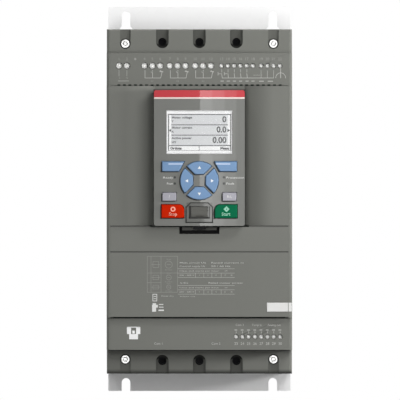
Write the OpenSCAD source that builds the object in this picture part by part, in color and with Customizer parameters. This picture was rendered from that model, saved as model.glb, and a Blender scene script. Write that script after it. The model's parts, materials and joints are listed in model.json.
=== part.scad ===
// Three-phase motor soft starter with a pull-off keypad, in millimetres.
// The wall plate's back face is the plane y = 0, the front looks along -y, and z points up.
// Depths are measured from the wall, so a point at depth d lies at y = -d.

/* [Wall plate] */
// Thickness of the wall plate
plate_t = 2; // [1.5:0.1:3]
// Set-back of the plate's long edges behind the housing's sides
plate_inset = 0.5; // [0.2:0.1:2]
// Plate that shows above the housing
head_margin = 19.5; // [18.5:0.5:24]
// Plate that shows below the housing
foot_margin = 15.5; // [14.5:0.5:20]
// Distance between the wall screws, across
hole_span_x = 120; // [112:1:122]
// Distance between the wall screws, up and down
hole_span_z = 300; // [299:0.5:302]
// Width of the wall-screw slots
slot_w = 7; // [6:0.1:8]
// Diameter of the round head of each keyhole
keyhole_d = 12; // [11:0.5:13]
// Drop from a keyhole's neck down to its round head
keyhole_drop = 13.7; // [13:0.1:15]

/* [Housing] */
// Width across the housing's sides
body_w = 150; // [149:1:165]
// Wall thickness of the two housings
wall = 3; // [2.6:0.1:3.4]
// Radius of the long front edges of the sides
edge_r = 2.5; // [1.5:0.1:2.6]
// Radius of the lower front edge
foot_edge_r = 3; // [1.5:0.1:3]
// Radius of the upper front edge
head_edge_r = 1.5; // [1:0.1:3]
// Depth of the joint between the rear and the front housing
parting_d = 80; // [78:1:88]
// Depth of the two terminal shoulders
shoulder_d = 150; // [148:1:155]
// Height of each terminal shoulder
shoulder_h = 19.5; // [19:0.1:22]
// Thickness of the front panels
panel_t = 2.5; // [2:0.1:3]
// Width of the open joint between two front panels
seam = 1.2; // [0.6:0.1:1.6]
// Clearance of a panel between the sides
fit_gap = 0.3; // [0.2:0.05:0.5]

/* [Front panels] */
// Height of the control terminal panel
control_h = 26; // [25:0.5:30]
// Step of the control terminal panel in front of the shoulders
control_step = 24; // [22:0.5:28]
// Height of the keypad cover above the keypad
keypad_head = 4.1; // [3:0.1:8]
// Step of the keypad cover and the lower covers in front of the control terminal panel
face_step = 12; // [10:0.5:16]
// Radius at which the keypad cover rolls down towards the keypad
roll_r = 32; // [30:0.5:36]
// Height of the latch panel
latch_h = 20.7; // [20:0.1:24]
// Height of the lower cover
lower_h = 53.2; // [50:0.1:60]
// Height of the extension terminal panel
extension_h = 26.1; // [25:0.1:30]
// Step of the extension terminal panel in front of the shoulders
extension_step = 30; // [26:0.5:32]
// Width of the finger recess under the keypad
recess_w = 32.4; // [28:0.1:38]
// Height of the finger recess under the keypad
recess_h = 6.2; // [5:0.1:8]
// Depth of the finger recess behind the latch panel's face
recess_depth = 13; // [10:0.5:14]
// Number of notches in the air row above the keypad
notch_count = 30; // [20:1:30]
// Pitch of the notches in the air row
notch_pitch = 4.5; // [4:0.1:4.6]
// Width of a notch in the air row
notch_w = 2.4; // [1.6:0.1:2.8]
// Height of a notch in the air row
notch_h = 1; // [0.8:0.1:1.6]

/* [Marker tag] */
// Length of the marker tag
tag_w = 20; // [14:0.5:24]
// Height of the marker tag
tag_h = 7.4; // [6:0.1:9]
// Thickness of the marker tag
tag_t = 1.6; // [1:0.1:1.9]
// Height of the marker tag above the lower cover's lower edge
tag_rise = 4.2; // [2:0.1:8]

/* [Power terminals] */
// Pitch of the three poles
pole_pitch = 30; // [29.5:0.1:32]
// Radius of the cable bore in a power terminal
cable_r = 7; // [6:0.1:7.5]
// Depth of the cable bore in a power terminal
cable_bore_l = 18; // [15:0.5:18.5]
// Radius of the cable openings in the housing
cable_open_r = 9; // [8:0.1:10]
// Width of a power terminal
lug_w = 22; // [20:0.5:24]
// Depth of a power terminal, front to back
lug_l = 26; // [24:0.5:28]
// Height of a power terminal
lug_h = 20; // [19:0.5:21]
// Distance of the clamp screws from the housing's ends
access_offset = 10.2; // [9:0.1:11]
// Radius of the screwdriver holes in front of the clamp screws
access_r = 3.3; // [2.8:0.1:4]
// Radius of the grooves that lead to the screwdriver holes
groove_r = 5.1; // [4.6:0.1:5.6]
// Depth of those grooves
groove_depth = 6; // [4:0.1:7]
// Radius of the clamp screws
clamp_r = 4; // [3.5:0.1:4.5]

/* [Housing screws] */
// Distance between the housing screws, across
case_screw_span = 120; // [116:0.5:122]
// Distance of the housing screws from the housing's ends
case_screw_offset = 11.6; // [11:0.1:13]
// Radius of a housing screw's head
case_head_r = 3.45; // [3:0.05:3.7]
// Height of a housing screw's head
case_head_h = 3.6; // [3:0.1:4]
// Radius of a housing screw's shank
case_shank_r = 2; // [1.6:0.1:2.2]
// Radius of the groove round a housing screw
case_groove_r = 4.2; // [4.1:0.05:4.6]
// Depth of that groove
case_groove_depth = 3; // [2:0.1:4]
// Depth of a housing screw's seat behind the shoulder face
case_seat_depth = 8; // [7:0.1:9]

/* [Control terminals] */
// Pitch of the relay and supply terminals
relay_pitch = 6.35; // [6:0.01:6.4]
// Pitch of the signal terminals
signal_pitch = 5.08; // [4.9:0.01:5.1]
// Radius of a relay terminal's screw head
relay_screw_r = 2.4; // [2:0.1:2.6]
// Radius of a signal terminal's screw head
signal_screw_r = 1.7; // [1.4:0.1:1.9]
// Distance of the control terminals' screws below the control panel's top edge
control_screw_drop = 10.2; // [9:0.1:11]
// Distance of the extension terminals' screws below the extension panel's top edge
extension_screw_drop = 15.5; // [14:0.1:17]
// Height of the terminal blocks
terminal_h = 15; // [13:0.5:16]
// Distance of the control board behind the control terminal panel's face
terminal_l = 14; // [13:0.5:16]

/* [Power parts] */
// Height of the heat sink
sink_h = 200; // [180:1:206]
// Width of the heat sink
sink_w = 124; // [116:1:130]
// Depth of the heat sink's front face
sink_d = 64; // [63:0.5:66]
// Thickness of the heat sink's base
sink_base_t = 8; // [6:0.5:10]
// Number of fins
fin_count = 15; // [11:1:17]
// Thickness of a fin
fin_t = 2; // [1.5:0.1:2.5]
// Width of a thyristor module
module_w = 27; // [24:0.5:28]
// Height of a thyristor module
module_h = 92; // [84:1:98]
// Depth of a thyristor module's body
module_l = 28; // [26:0.5:29]
// Thickness of the busbars
busbar_t = 3; // [2.5:0.1:3.5]
// Width of the busbars
busbar_w = 14; // [12:0.5:16]
// Depth of a bypass contactor, front to back
contactor_l = 35; // [30:0.5:38]
// Outside of the square fan frame
fan_w = 60; // [56:0.5:60]
// Thickness of the fan frame
fan_t = 15; // [12:0.5:16]

/* [Keypad] */
// Width of the keypad
keypad_w = 73.4; // [72:0.1:76]
// Distance of the keypad's face in front of the covers, at its middle
keypad_proud = 12; // [10:0.5:16]
// Radius of the keypad's bowed face
face_r = 450; // [300:10:800]
// Radius of the keypad's corners
keypad_corner_r = 1.8; // [1:0.1:3]
// Distance of the joint between the keypad's two shells behind the covers' faces
keypad_joint = 1; // [0.5:0.1:2]
// Wall thickness of the keypad's shells
keypad_wall = 2; // [1.6:0.1:2.4]
// Height of the coloured strip with its pale lower line
strip_h = 7.1; // [6:0.1:8]
// Thickness of the coloured strip
strip_t = 1; // [0.8:0.1:1.2]
// Width of the display opening
display_w = 53.4; // [48:0.1:56]
// Height of the display opening
display_h = 35.3; // [32:0.1:36]
// Distance of the display's upper edge below the keypad's top
display_drop = 16.2; // [15:0.1:17]
// Gap between the four-way ring and the display
display_foot = 6.1; // [5:0.1:8]
// Distance of the keys' faces in front of the keypad's face
key_proud = 1.6; // [1.2:0.1:2]
// Travel of a key
key_travel = 1; // [0.6:0.1:1.2]
// Clearance of a key in its opening
key_gap = 0.45; // [0.25:0.05:0.5]
// Outer radius of the four-way ring
ring_r = 15.4; // [14:0.1:16]
// Gap between two keys of the four-way ring
ring_gap = 2.3; // [2:0.1:3]
// Half-width of the square in the middle of the ring
ring_inner = 5.1; // [4:0.1:6]
// Gap between the data port and the four-way ring
ring_foot = 2.9; // [2.4:0.1:5]
// Width of the frame round the data port
port_w = 20.6; // [19:0.1:22]
// Height of the frame round the data port
port_h = 15.1; // [14:0.1:17]
// Distance of the data port above the keypad's lower edge
port_foot = 3.2; // [2.6:0.1:5]
// Width of the flap over the data port
flap_w = 13.4; // [11:0.1:14]
// Height of the flap over the data port
flap_h = 8.1; // [7.5:0.1:8.5]

/* [Hidden] */

$fn = 64;
EPS = 0.01;         // overlap that fuses or cuts cleanly
OVER = 1;           // cut past a face
FINE_FN = 256;      // circle segments on the bowed face

// Height of the keypad from what it holds, and of the cover round it
keypad_h = port_foot + port_h + ring_foot + 2 * ring_r + display_foot + display_h + display_drop;
pocket_gap = 0.3;           // round the keypad in its pocket
cover_h = pocket_gap + keypad_h + keypad_head;

// Depths of the front, from the shoulders outward
control_d = shoulder_d + control_step;
extension_d = shoulder_d + extension_step;
face_d = control_d + face_step;
keypad_d = face_d + keypad_proud;
keypad_parting_d = face_d - keypad_joint;

// Heights of the housing and of its sections, from the top down
body_h = 2 * shoulder_h + control_h + cover_h + latch_h + lower_h + extension_h;
plate_h = body_h + head_margin + foot_margin;
body_top = plate_h / 2 - head_margin;
body_bottom = body_top - body_h;
control_top = body_top - shoulder_h;
cover_top = control_top - control_h;
latch_top = cover_top - cover_h;
lower_top = latch_top - latch_h;
extension_top = lower_top - lower_h;
extension_bottom = extension_top - extension_h;
inner_x = body_w / 2 - wall;
panel_x = inner_x - fit_gap;

// Sections of the sides: upper end, lower end, depth of the front edge
SECTIONS = [
    [body_top, control_top, shoulder_d],
    [control_top, cover_top, control_d],
    [cover_top, extension_top, face_d],
    [extension_top, extension_bottom, extension_d],
    [extension_bottom, body_bottom, shoulder_d]
];

// Poles, counted from the left
POLES = [-1, 0, 1];
function pole_x(i) = POLES[i] * pole_pitch;
access_top_z = body_top - access_offset;
access_bottom_z = body_bottom + access_offset;
case_screw_top_z = body_top - case_screw_offset;
case_screw_bottom_z = body_bottom + case_screw_offset;
case_seat_d = shoulder_d - case_seat_depth;
case_grip = 18;             // reach of a housing screw into the rear housing
case_screw_l = case_seat_d - parting_d + case_grip;
sleeve_r = case_groove_r + 2;
shank_gap = 0.3;            // round a shank in its sleeve
pilot_gap = 0.05;           // round a shank in its boss

// Depth stack of the power parts
post_h = 3;                 // module posts under the busbars
module_front = sink_d + module_l;
busbar_back = module_front + post_h;
busbar_front = busbar_back + busbar_t;
lug_front = busbar_front + lug_l;
cable_d = busbar_front + lug_l / 2 - 1;
lug_clear = 1;              // between a power terminal and the housing's end wall
lug_top = body_top - wall - lug_clear;
lug_bottom = body_bottom + wall + lug_clear;
contactor_foot = 3;
contactor_h = 84;
post_z = 34;                // height of a module's posts from its middle
busbar_end_z = post_z - 8;
ct_h = 18;
ct_l = 26;
contactor_step = 3;         // of a contactor's middle in front of its body
contactor_inset = 4.5;      // of that middle from the module's sides
ct_z = -74;                 // upper end of the current transformers
ct_gap = 0.4;

// Boards and terminals
board_t = 1.6;
board_d = control_d - terminal_l;   // front face of the control board
board_edge = 0.5;           // gap round the control board
ledge = 3;
ledge_w = 5;
rib_w = 2.5;
rib_t = 2.5;
behind_panel = 0.3;         // gap between a terminal block and its panel
block_low = control_top - panel_t - board_edge - terminal_h;            // control terminal blocks
extension_low = extension_bottom + panel_t + board_edge;                // extension terminal block
control_screw_z = control_top - control_screw_drop;
extension_screw_z = extension_top - extension_screw_drop;
screw_head_h = 1.6;
head_dome = 0.6;            // crown of a terminal screw's head
drive_w = 0.8;              // slot across it
drive_depth = 0.8;
drive_turn = 45;            // of that slot from level
head_gap = 0.25;            // round a screw head in its hole
head_sink = 1.5;            // of a screw head behind the panel's face

// Ribs behind the front panels: lower end, upper end, depth of the panel
PANEL_RIBS = [
    [cover_top, block_low - fit_gap, control_d],
    [extension_top, cover_top - seam / 2 - panel_t - fit_gap, face_d],
    [extension_low + terminal_h + fit_gap, extension_top - panel_t - fit_gap, extension_d]
];

// Terminal rows from the left: number of terminals and pitch of each row.
// The room that the rows leave between the sides is shared out by the weights, sides included.
ROWS = [
    [2, relay_pitch], [3, relay_pitch], [3, relay_pitch], [3, relay_pitch],
    [6, signal_pitch], [4, signal_pitch]
];
GAP_WEIGHTS = [3.425, 7.1, 0.65, 0.65, 2.085, 0.72, 3.92];
row_end = 0.4;              // of a block past its outer terminals
function row_w(row) = row[0] * row[1] + 2 * row_end;
function total(values, end) = end < 0 ? 0 : values[end] + total(values, end - 1);
row_widths = [for (row = ROWS) row_w(row)];
free_w = 2 * inner_x - total(row_widths, len(ROWS) - 1);
gap_unit = free_w / total(GAP_WEIGHTS, len(GAP_WEIGHTS) - 1);
function row_start(i) = -inner_x + total(row_widths, i - 1) + gap_unit * total(GAP_WEIGHTS, i);
// Screw middles of a row that starts at x
function screw_xs(row, x) = [for (i = [0:row[0] - 1]) x + row_end + (i + 0.5) * row[1]];
function control_xs(i) = screw_xs(ROWS[i], row_start(i));
relay_xs = [for (i = [0:3]) each control_xs(i)];
signal_xs = [for (i = [4:5]) each control_xs(i)];
extension_count = 8;        // terminals of the extension row
EXTENSION_ROW = [extension_count, signal_pitch];
extension_end = 3.8;        // between the extension terminals and the right side
extension_xs = screw_xs(EXTENSION_ROW, inner_x - extension_end - row_w(EXTENSION_ROW));

// Keypad
keypad_bottom = latch_top + pocket_gap;
keypad_top = keypad_bottom + keypad_h;
keypad_mid = (keypad_top + keypad_bottom) / 2;
pocket_wall = 2;
pocket_x = keypad_w / 2 + pocket_gap;
pocket_depth = 16;          // of the pocket's floor behind the covers' faces
pocket_floor = face_d - pocket_depth;
keypad_rear = pocket_floor + pocket_gap;
bow = face_r - sqrt(face_r * face_r - keypad_w * keypad_w / 4);
bezel_inner_d = keypad_d - bow - 2.5;
flange_t = 0.9;
flange_w = 0.8;
flange_gap = 0.1;
key_back_d = bezel_inner_d - flange_gap - flange_t;
mat_t = 1;
mat_front_d = key_back_d - key_travel - 0.1;
keypad_board_front = mat_front_d - mat_t;
window_t = 0.6;
window_front = keypad_d - bow * pow(display_w / keypad_w, 2) - 0.2;
display_top = keypad_top - display_drop;
display_z = display_top - display_h / 2;

// Keys: the ring stands on the data port, and the others follow the ring, the port and the keypad's sides
port_top = keypad_bottom + port_foot + port_h;
ring_z = port_top + ring_foot + ring_r;
soft_key_h = 8;
soft_key_slope = 4.3;       // of its inner end
soft_key_top = ring_z + ring_r;
soft_key_x0 = ring_r - 3.3;
soft_key_x1 = keypad_w / 2 - 6.5;
side_key_h = 6.7;
side_key_drop = 9.7;        // of the side keys' upper edges under the ring's middle
side_key_top = ring_z - side_key_drop;
side_key_x0 = ring_r + 3.3;
side_key_x1 = keypad_w / 2 - 6.8;
run_key_h = 10.8;
run_key_top = side_key_top - side_key_h - 3;
run_key_x0 = port_w / 2 + 2.1;
run_key_x1 = keypad_w / 2 - 6.1;
run_key_r = 4.5;
lamp_r = 0.6;
lamp_x = ring_r + 4.4;
lamp_up = 2.6;              // of the upper lamps above the ring's middle
lamp_down = 2.4;            // of the lower lamps under it
mat_edge = 2;               // of the key mat past the soft keys
mat_foot = 4.5;             // under the key mat
mat_head = 1.2;             // of the key mat above the soft keys
port_cut = 3.5;
port_proud = 0.8;
port_groove_w = 0.6;        // groove round the data port's frame
port_groove_depth = 1;
flap_t = 1.2;
flap_bulge = 1;             // of the flap's crown in front of its edges
flap_neck = 1.5;            // flat of the flap under its hinge
flap_gap = 0.3;
hinge_r = 0.6;
hinge_gap = 0.05;
flap_barrel_r = 0.75;
hinge_z = port_top - 3.4;
flap_front = keypad_d + 0.2;
hinge_d = flap_front - flap_barrel_r;
port_floor = flap_front - flap_t - 1.4;

// Colours
GREY = [0.40, 0.40, 0.38];
GREY_DARK = [0.33, 0.33, 0.32];
SILVER_GREY = [0.50, 0.51, 0.49];
ZINC = [0.80, 0.80, 0.80];
STEEL = [0.85, 0.85, 0.83];
COPPER = [0.72, 0.45, 0.30];
ALUMINIUM = [0.70, 0.71, 0.72];
BLACK = [0.06, 0.06, 0.06];
BLUE = [0.42, 0.58, 0.80];
PALE = [0.70, 0.70, 0.74];
RED = [0.80, 0.16, 0.06];
STRIP_RED = [0.78, 0.20, 0.24];
GREEN = [0.06, 0.45, 0.30];
WHITE = [0.92, 0.92, 0.90];
BOARD_GREEN = [0.10, 0.32, 0.20];

// Shapes that repeat

// Extrudes a drawing in x and z from depth d0 out to depth d1
module slab(d0, d1) {
    translate([0, -d0, 0]) rotate([90, 0, 0]) linear_extrude(d1 - d0) children();
}

module block(x0, x1, d0, d1, z0, z1) {
    translate([x0, -d1, z0]) cube([x1 - x0, d1 - d0, z1 - z0]);
}

// Box centred on x
module bar(x, w, d0, d1, z0, z1) {
    block(x - w / 2, x + w / 2, d0, d1, z0, z1);
}

module rod_y(x, z, d0, d1, r) {
    translate([x, -d0, z]) rotate([90, 0, 0]) cylinder(h = d1 - d0, r = r);
}

module rod_x(x0, x1, d, z, r) {
    translate([x0, -d, z]) rotate([0, 90, 0]) cylinder(h = x1 - x0, r = r);
}

module rod_z(x, d, z0, z1, r) {
    translate([x, -d, z0]) cylinder(h = z1 - z0, r = r);
}

module both_sides() {
    children();
    mirror([1, 0, 0]) children();
}

// Rectangle between two corners
module area(x0, x1, z0, z1) {
    translate([x0, z0]) square([x1 - x0, z1 - z0]);
}

// Rectangle with round corners, between two corners
module round_area(x0, x1, z0, z1, r) {
    area(x0 + r, x1 - r, z0, z1);
    area(x0, x1, z0 + r, z1 - r);
    for (x = [x0 + r, x1 - r], z = [z0 + r, z1 - r]) translate([x, z]) circle(r);
}

// Slot with a round end at (x, z) that runs up or down to z_end
module groove_area(x, z, r, z_end) {
    translate([x, z]) circle(r);
    area(x - r, x + r, min(z, z_end), max(z, z_end));
}

// Cuts the sharp corner off an edge that runs along x, to a round one
module edge_cut(d, z, r, up) {
    mid = z - up * r;
    difference() {
        block(-body_w, body_w, d - r, d + OVER, min(mid, z + up * OVER), max(mid, z + up * OVER));
        rod_x(-body_w - OVER, body_w + OVER, d - r, mid, r);
    }
}

// Wall plate

module keyhole(x) {
    groove_area(x, hole_span_z / 2, slot_w / 2, hole_span_z / 2 - keyhole_drop);
    translate([x, hole_span_z / 2 - keyhole_drop]) circle(keyhole_d / 2);
}

module mounting_plate() {
    color(ZINC) slab(0, plate_t) difference() {
        round_area(-body_w / 2 + plate_inset, body_w / 2 - plate_inset, -plate_h / 2, plate_h / 2, 1);
        for (x = [-hole_span_x / 2, hole_span_x / 2]) {
            keyhole(x);
            groove_area(x, -hole_span_z / 2, slot_w / 2, -plate_h / 2 - OVER);
        }
    }
}

// Housings

vent_count = 17;
vent_pitch = 6;
vent_w = 3;
vent_back = 10;
vent_front = 58;
boss_back = 30;
head_room = 12;             // depth of the pockets for the wall screws' heads
head_pocket_w = keyhole_d + 4;
head_pocket_low = hole_span_z / 2 - keyhole_drop - keyhole_d / 2 - 2;
head_pocket_t = 2;

module case_screw_places() {
    for (x = [-case_screw_span / 2, case_screw_span / 2]) {
        translate([x, 0, case_screw_top_z]) children();
        translate([x, 0, case_screw_bottom_z]) mirror([0, 0, 1]) children();
    }
}

module end_vents(z0, z1) {
    for (i = [0:vent_count - 1])
        bar((i - (vent_count - 1) / 2) * vent_pitch, vent_w, vent_back, vent_front, z0, z1);
}

module rear_housing() {
    color(GREY_DARK) difference() {
        union() {
            slab(plate_t, parting_d) difference() {
                round_area(-body_w / 2, body_w / 2, body_bottom, body_top, 1.5);
                area(-inner_x, inner_x, body_bottom + wall, body_top - wall);
            }
            case_screw_places() {
                rod_y(0, 0, boss_back, parting_d, sleeve_r);
                bar(0, 4, boss_back, parting_d, 0, case_screw_offset - wall / 2);
            }
            for (x = [-hole_span_x / 2, hole_span_x / 2])
                bar(x, head_pocket_w + 2 * head_pocket_t, plate_t, plate_t + head_room + head_pocket_t,
                    head_pocket_low - head_pocket_t, body_top - wall + EPS);
        }
        case_screw_places()
            rod_y(0, 0, case_seat_d - case_screw_l - 4, parting_d + OVER, case_shank_r + pilot_gap);
        end_vents(body_top - wall - OVER, body_top + OVER);
        end_vents(body_bottom - OVER, body_bottom + wall + OVER);
        for (x = [-hole_span_x / 2, hole_span_x / 2])
            bar(x, head_pocket_w, plate_t - OVER, plate_t + head_room, head_pocket_low, body_top + OVER);
    }
}

// Plan of the right side wall, with its round front edge
module side_plan(depth) {
    difference() {
        translate([inner_x, -depth]) square([wall, depth - parting_d]);
        difference() {
            translate([body_w / 2 - edge_r, -depth - OVER]) square([edge_r + OVER, edge_r + OVER]);
            translate([body_w / 2 - edge_r, -depth + edge_r]) circle(edge_r);
        }
    }
}

module sides() {
    both_sides() for (s = SECTIONS)
        translate([0, 0, s[1]]) linear_extrude(s[0] - s[1]) side_plan(s[2]);
}

// Ribs behind the front panels and the ledges that carry the control board
module panel_ribs() {
    both_sides() {
        for (rib = PANEL_RIBS)
            block(inner_x - rib_w, inner_x + EPS, rib[2] - panel_t - rib_t, rib[2] - panel_t, rib[0], rib[1]);
        block(inner_x - ledge_w, inner_x + EPS, board_d - board_t - ledge, board_d - board_t,
              extension_low, control_top - panel_t - board_edge);
    }
}

// One end of the front housing, drawn for the upper end: end wall, shoulder face,
// cable collars and the pockets behind the grooves
pocket_t = 2.5;
case_groove_t = 1.5;        // floor and sides of a housing screw's groove
shoulder_lip = 6;           // of the shoulder face behind the next panel's edge
collar_t = 1.5;
collar_gap = 0.3;           // between a cable collar and the power terminal

module shoulder_end() {
    face_back = shoulder_d - wall;
    block(-inner_x - EPS, inner_x + EPS, parting_d, shoulder_d, -wall, 0);
    block(-inner_x - EPS, inner_x + EPS, face_back, shoulder_d, -shoulder_h - shoulder_lip, 0);
    for (i = [0:2]) {
        x = pole_x(i);
        bar(x, 2 * groove_r + 2 * pocket_t, shoulder_d - groove_depth - pocket_t, shoulder_d - OVER,
            -access_offset - groove_r - pocket_t, -EPS);
        rod_z(x, cable_d, -wall - lug_clear + collar_gap, -EPS, cable_open_r + collar_t);
    }
    for (x = [-case_screw_span / 2, case_screw_span / 2])
        bar(x, 2 * case_groove_r + 2 * case_groove_t, shoulder_d - case_groove_depth - case_groove_t,
            shoulder_d - OVER, -case_screw_offset, -EPS);
}

module shoulder_cuts() {
    for (i = [0:2]) {
        x = pole_x(i);
        slab(shoulder_d - groove_depth, shoulder_d + OVER) groove_area(x, -access_offset, groove_r, OVER);
        rod_y(x, -access_offset, parting_d, shoulder_d, access_r);
        rod_z(x, cable_d, -shoulder_h, OVER, cable_open_r);
    }
    for (x = [-case_screw_span / 2, case_screw_span / 2])
        slab(shoulder_d - case_groove_depth, shoulder_d + OVER)
            groove_area(x, -case_screw_offset, case_groove_r, OVER);
}

module at_both_ends() {
    translate([0, 0, body_top]) children();
    translate([0, 0, body_bottom]) mirror([0, 0, 1]) children();
}

module front_housing() {
    color(GREY) difference() {
        union() {
            sides();
            panel_ribs();
            at_both_ends() shoulder_end();
            case_screw_places() rod_y(0, 0, parting_d, shoulder_d - OVER, sleeve_r);
        }
        at_both_ends() shoulder_cuts();
        case_screw_places() {
            rod_y(0, 0, parting_d - OVER, shoulder_d, case_shank_r + shank_gap);
            rod_y(0, 0, case_seat_d, shoulder_d + OVER, case_groove_r);
        }
        edge_cut(shoulder_d, body_top, head_edge_r, 1);
        edge_cut(shoulder_d, body_bottom, foot_edge_r, -1);
        tag_room();
    }
}

// Front panels

relay_wire_w = 4.6;
signal_wire_w = 3.4;
wire_l = 5;
wire_d = board_d + 6;       // depth of the wire openings

module screw_windows(xs, z, r) {
    for (x = xs) translate([x, z]) circle(r + head_gap);
}

module wire_windows(xs, w, z0, z1) {
    for (x = xs) bar(x, w, wire_d - wire_l / 2, wire_d + wire_l / 2, z0, z1);
}

// The panel's lower edge closes the joint above the keypad cover, apart from the notches
module terminal_panel() {
    lower = cover_top - seam / 2 + fit_gap;
    color(GREY) difference() {
        union() {
            block(-panel_x, panel_x, control_d - panel_t, control_d, lower, control_top);
            block(-panel_x, panel_x, shoulder_d + fit_gap, control_d, control_top - panel_t, control_top);
        }
        slab(control_d - panel_t - OVER, control_d + OVER) {
            screw_windows(relay_xs, control_screw_z, relay_screw_r);
            screw_windows(signal_xs, control_screw_z, signal_screw_r);
        }
        wire_windows(relay_xs, relay_wire_w, control_top - panel_t - OVER, control_top + OVER);
        wire_windows(signal_xs, signal_wire_w, control_top - panel_t - OVER, control_top + OVER);
        for (i = [0:notch_count - 1])
            bar((i - (notch_count - 1) / 2) * notch_pitch, notch_w, control_d - panel_t - OVER,
                control_d + OVER, lower - OVER, lower + notch_h);
    }
}

roll_w = 22.8;                      // of the rolled wing beside the keypad
roll_x = keypad_w / 2 + roll_w;
roll_mid_d = face_d - roll_r;

// Plan of the keypad cover: flat wings that roll down to the pocket's walls and floor.
// At its closed upper end the wings are filled down to the control panel's back.
module cover_plan(closed) {
    back = (closed ? control_d : face_d) - panel_t;
    roll_back = closed ? back : pocket_floor - pocket_wall;
    both_sides() {
        translate([roll_x, -face_d]) square([panel_x - roll_x, face_d - back]);
        intersection() {
            translate([roll_x, -roll_mid_d]) difference() {
                circle(roll_r, $fn = FINE_FN);
                if (!closed) circle(roll_r - panel_t, $fn = FINE_FN);
            }
            translate([pocket_x, -face_d - OVER]) square([roll_x - pocket_x, face_d + OVER - roll_back]);
        }
        translate([pocket_x, -roll_edge_d]) square([pocket_wall, roll_edge_d - pocket_floor + pocket_wall]);
    }
    translate([-pocket_x, -pocket_floor]) square([2 * pocket_x, pocket_wall]);
}
// Depth of the wings where they meet the pocket, less a little so that the wall ends inside them
roll_edge_d = roll_mid_d + sqrt(pow(roll_r, 2) - pow(roll_x - pocket_x, 2)) - 0.6;

plug_w = 15;
plug_gap = 1;
plug_rise = 20;             // of the plug above the keypad's middle
plug_z = keypad_mid + plug_rise;
plug_h = 12;

module keypad_cover() {
    top = cover_top - seam / 2;
    bottom = latch_top + seam / 2;
    pocket_top = keypad_top + pocket_gap;
    color(GREY) difference() {
        union() {
            translate([0, 0, bottom]) linear_extrude(top - panel_t - bottom) cover_plan(false);
            translate([0, 0, top - panel_t]) linear_extrude(panel_t) cover_plan(true);
            block(-pocket_x - OVER, pocket_x + OVER, pocket_floor - OVER, roll_edge_d, pocket_top, top);
        }
        bar(0, plug_w + 2 * plug_gap, pocket_floor - pocket_wall - OVER, pocket_floor + OVER,
            plug_z - plug_h / 2 - plug_gap, plug_z + plug_h / 2 + plug_gap);
    }
}

cup_wall = 1.5;

module latch_panel() {
    top = latch_top - seam / 2;
    bottom = lower_top + seam / 2;
    floor_d = face_d - recess_depth;
    color(GREY) difference() {
        union() {
            block(-panel_x, panel_x, face_d - panel_t, face_d, bottom, top);
            bar(0, 2 * roll_x, pocket_floor - pocket_wall, face_d, top - panel_t, top);
            bar(0, recess_w + 2 * cup_wall, floor_d - cup_wall, face_d, latch_top - recess_h - cup_wall, top);
        }
        bar(0, recess_w, floor_d, face_d + OVER, latch_top - recess_h, top + OVER);
    }
}

tag_bottom = extension_top + seam / 2 + tag_rise;
tag_gap = 0.2;
tag_sink = 0.1;             // of the tag's face behind the cover's
tag_end = body_w / 2 - 0.4;

module tag_room() {
    block(tag_end - tag_w - tag_gap, body_w / 2 + OVER, face_d - tag_t, face_d + OVER,
          tag_bottom - tag_gap, tag_bottom + tag_h + tag_gap);
}

module lower_cover() {
    bottom = extension_top + seam / 2;
    color(GREY) difference() {
        union() {
            block(-panel_x, panel_x, face_d - panel_t, face_d, bottom, lower_top - seam / 2);
            bar(0, 2 * (panel_x - rib_w - fit_gap), extension_d - panel_t, face_d, bottom, bottom + panel_t);
        }
        tag_room();
    }
}

module marker_tag() {
    color(WHITE) block(tag_end - tag_w, tag_end, face_d - tag_t, face_d - tag_sink,
                       tag_bottom, tag_bottom + tag_h);
}

module extension_panel() {
    top = extension_top - seam / 2;
    color(GREY) difference() {
        union() {
            block(-panel_x, panel_x, extension_d - panel_t, extension_d, extension_bottom, top);
            block(-panel_x, panel_x, shoulder_d + fit_gap, extension_d,
                  extension_bottom, extension_bottom + panel_t);
        }
        slab(extension_d - panel_t - OVER, extension_d + OVER)
            screw_windows(extension_xs, extension_screw_z, signal_screw_r);
        wire_windows(extension_xs, signal_wire_w, extension_bottom - OVER, extension_bottom + panel_t + OVER);
    }
}

// Housing screws with a six-lobed recess
lobe_depth = 1.8;

module lobe_recess(r) {
    circle(r * 0.72);
    for (a = [0:60:300]) rotate(a) translate([r * 0.72, 0]) circle(r * 0.3);
}

module housing_screws() {
    color(STEEL) case_screw_places() difference() {
        union() {
            rod_y(0, 0, case_seat_d, case_seat_d + case_head_h, case_head_r);
            rod_y(0, 0, case_seat_d - case_screw_l, case_seat_d + EPS, case_shank_r);
        }
        slab(case_seat_d + case_head_h - lobe_depth, case_seat_d + case_head_h + OVER)
            lobe_recess(case_head_r * 0.55);
    }
}

// Control terminals

screw_shank_r = 1.2;
screw_shank_l = 5;

// A row of terminals on the control board, with its screw and wire holes
module terminal_row(xs, pitch, panel_depth, screw_z, z0, head_r, wire_w, wire_up) {
    front = panel_depth - panel_t - behind_panel;
    seat = panel_depth - head_sink - screw_head_h;
    color(BLACK) difference() {
        block(xs[0] - pitch / 2 - row_end, xs[len(xs) - 1] + pitch / 2 + row_end,
              board_d, front, z0, z0 + terminal_h);
        for (x = xs) {
            rod_y(x, screw_z, seat, front + OVER, head_r + head_gap);
            rod_y(x, screw_z, seat - screw_shank_l - 0.5, front, screw_shank_r + pilot_gap);
            bar(x, wire_w - 0.4, wire_d - 2, wire_d + 2,
                wire_up ? screw_z - 1 : z0 - OVER, wire_up ? z0 + terminal_h + OVER : screw_z + 1);
        }
    }
}

module control_row(i, head_r, wire_w) {
    terminal_row(control_xs(i), ROWS[i][1], control_d, control_screw_z, block_low, head_r, wire_w, true);
}

module supply_terminals() { control_row(0, relay_screw_r, relay_wire_w); }
module relay_terminals(i) { control_row(i + 1, relay_screw_r, relay_wire_w); }
module input_terminals() { control_row(4, signal_screw_r, signal_wire_w); }
module output_terminals() { control_row(5, signal_screw_r, signal_wire_w); }

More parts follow.
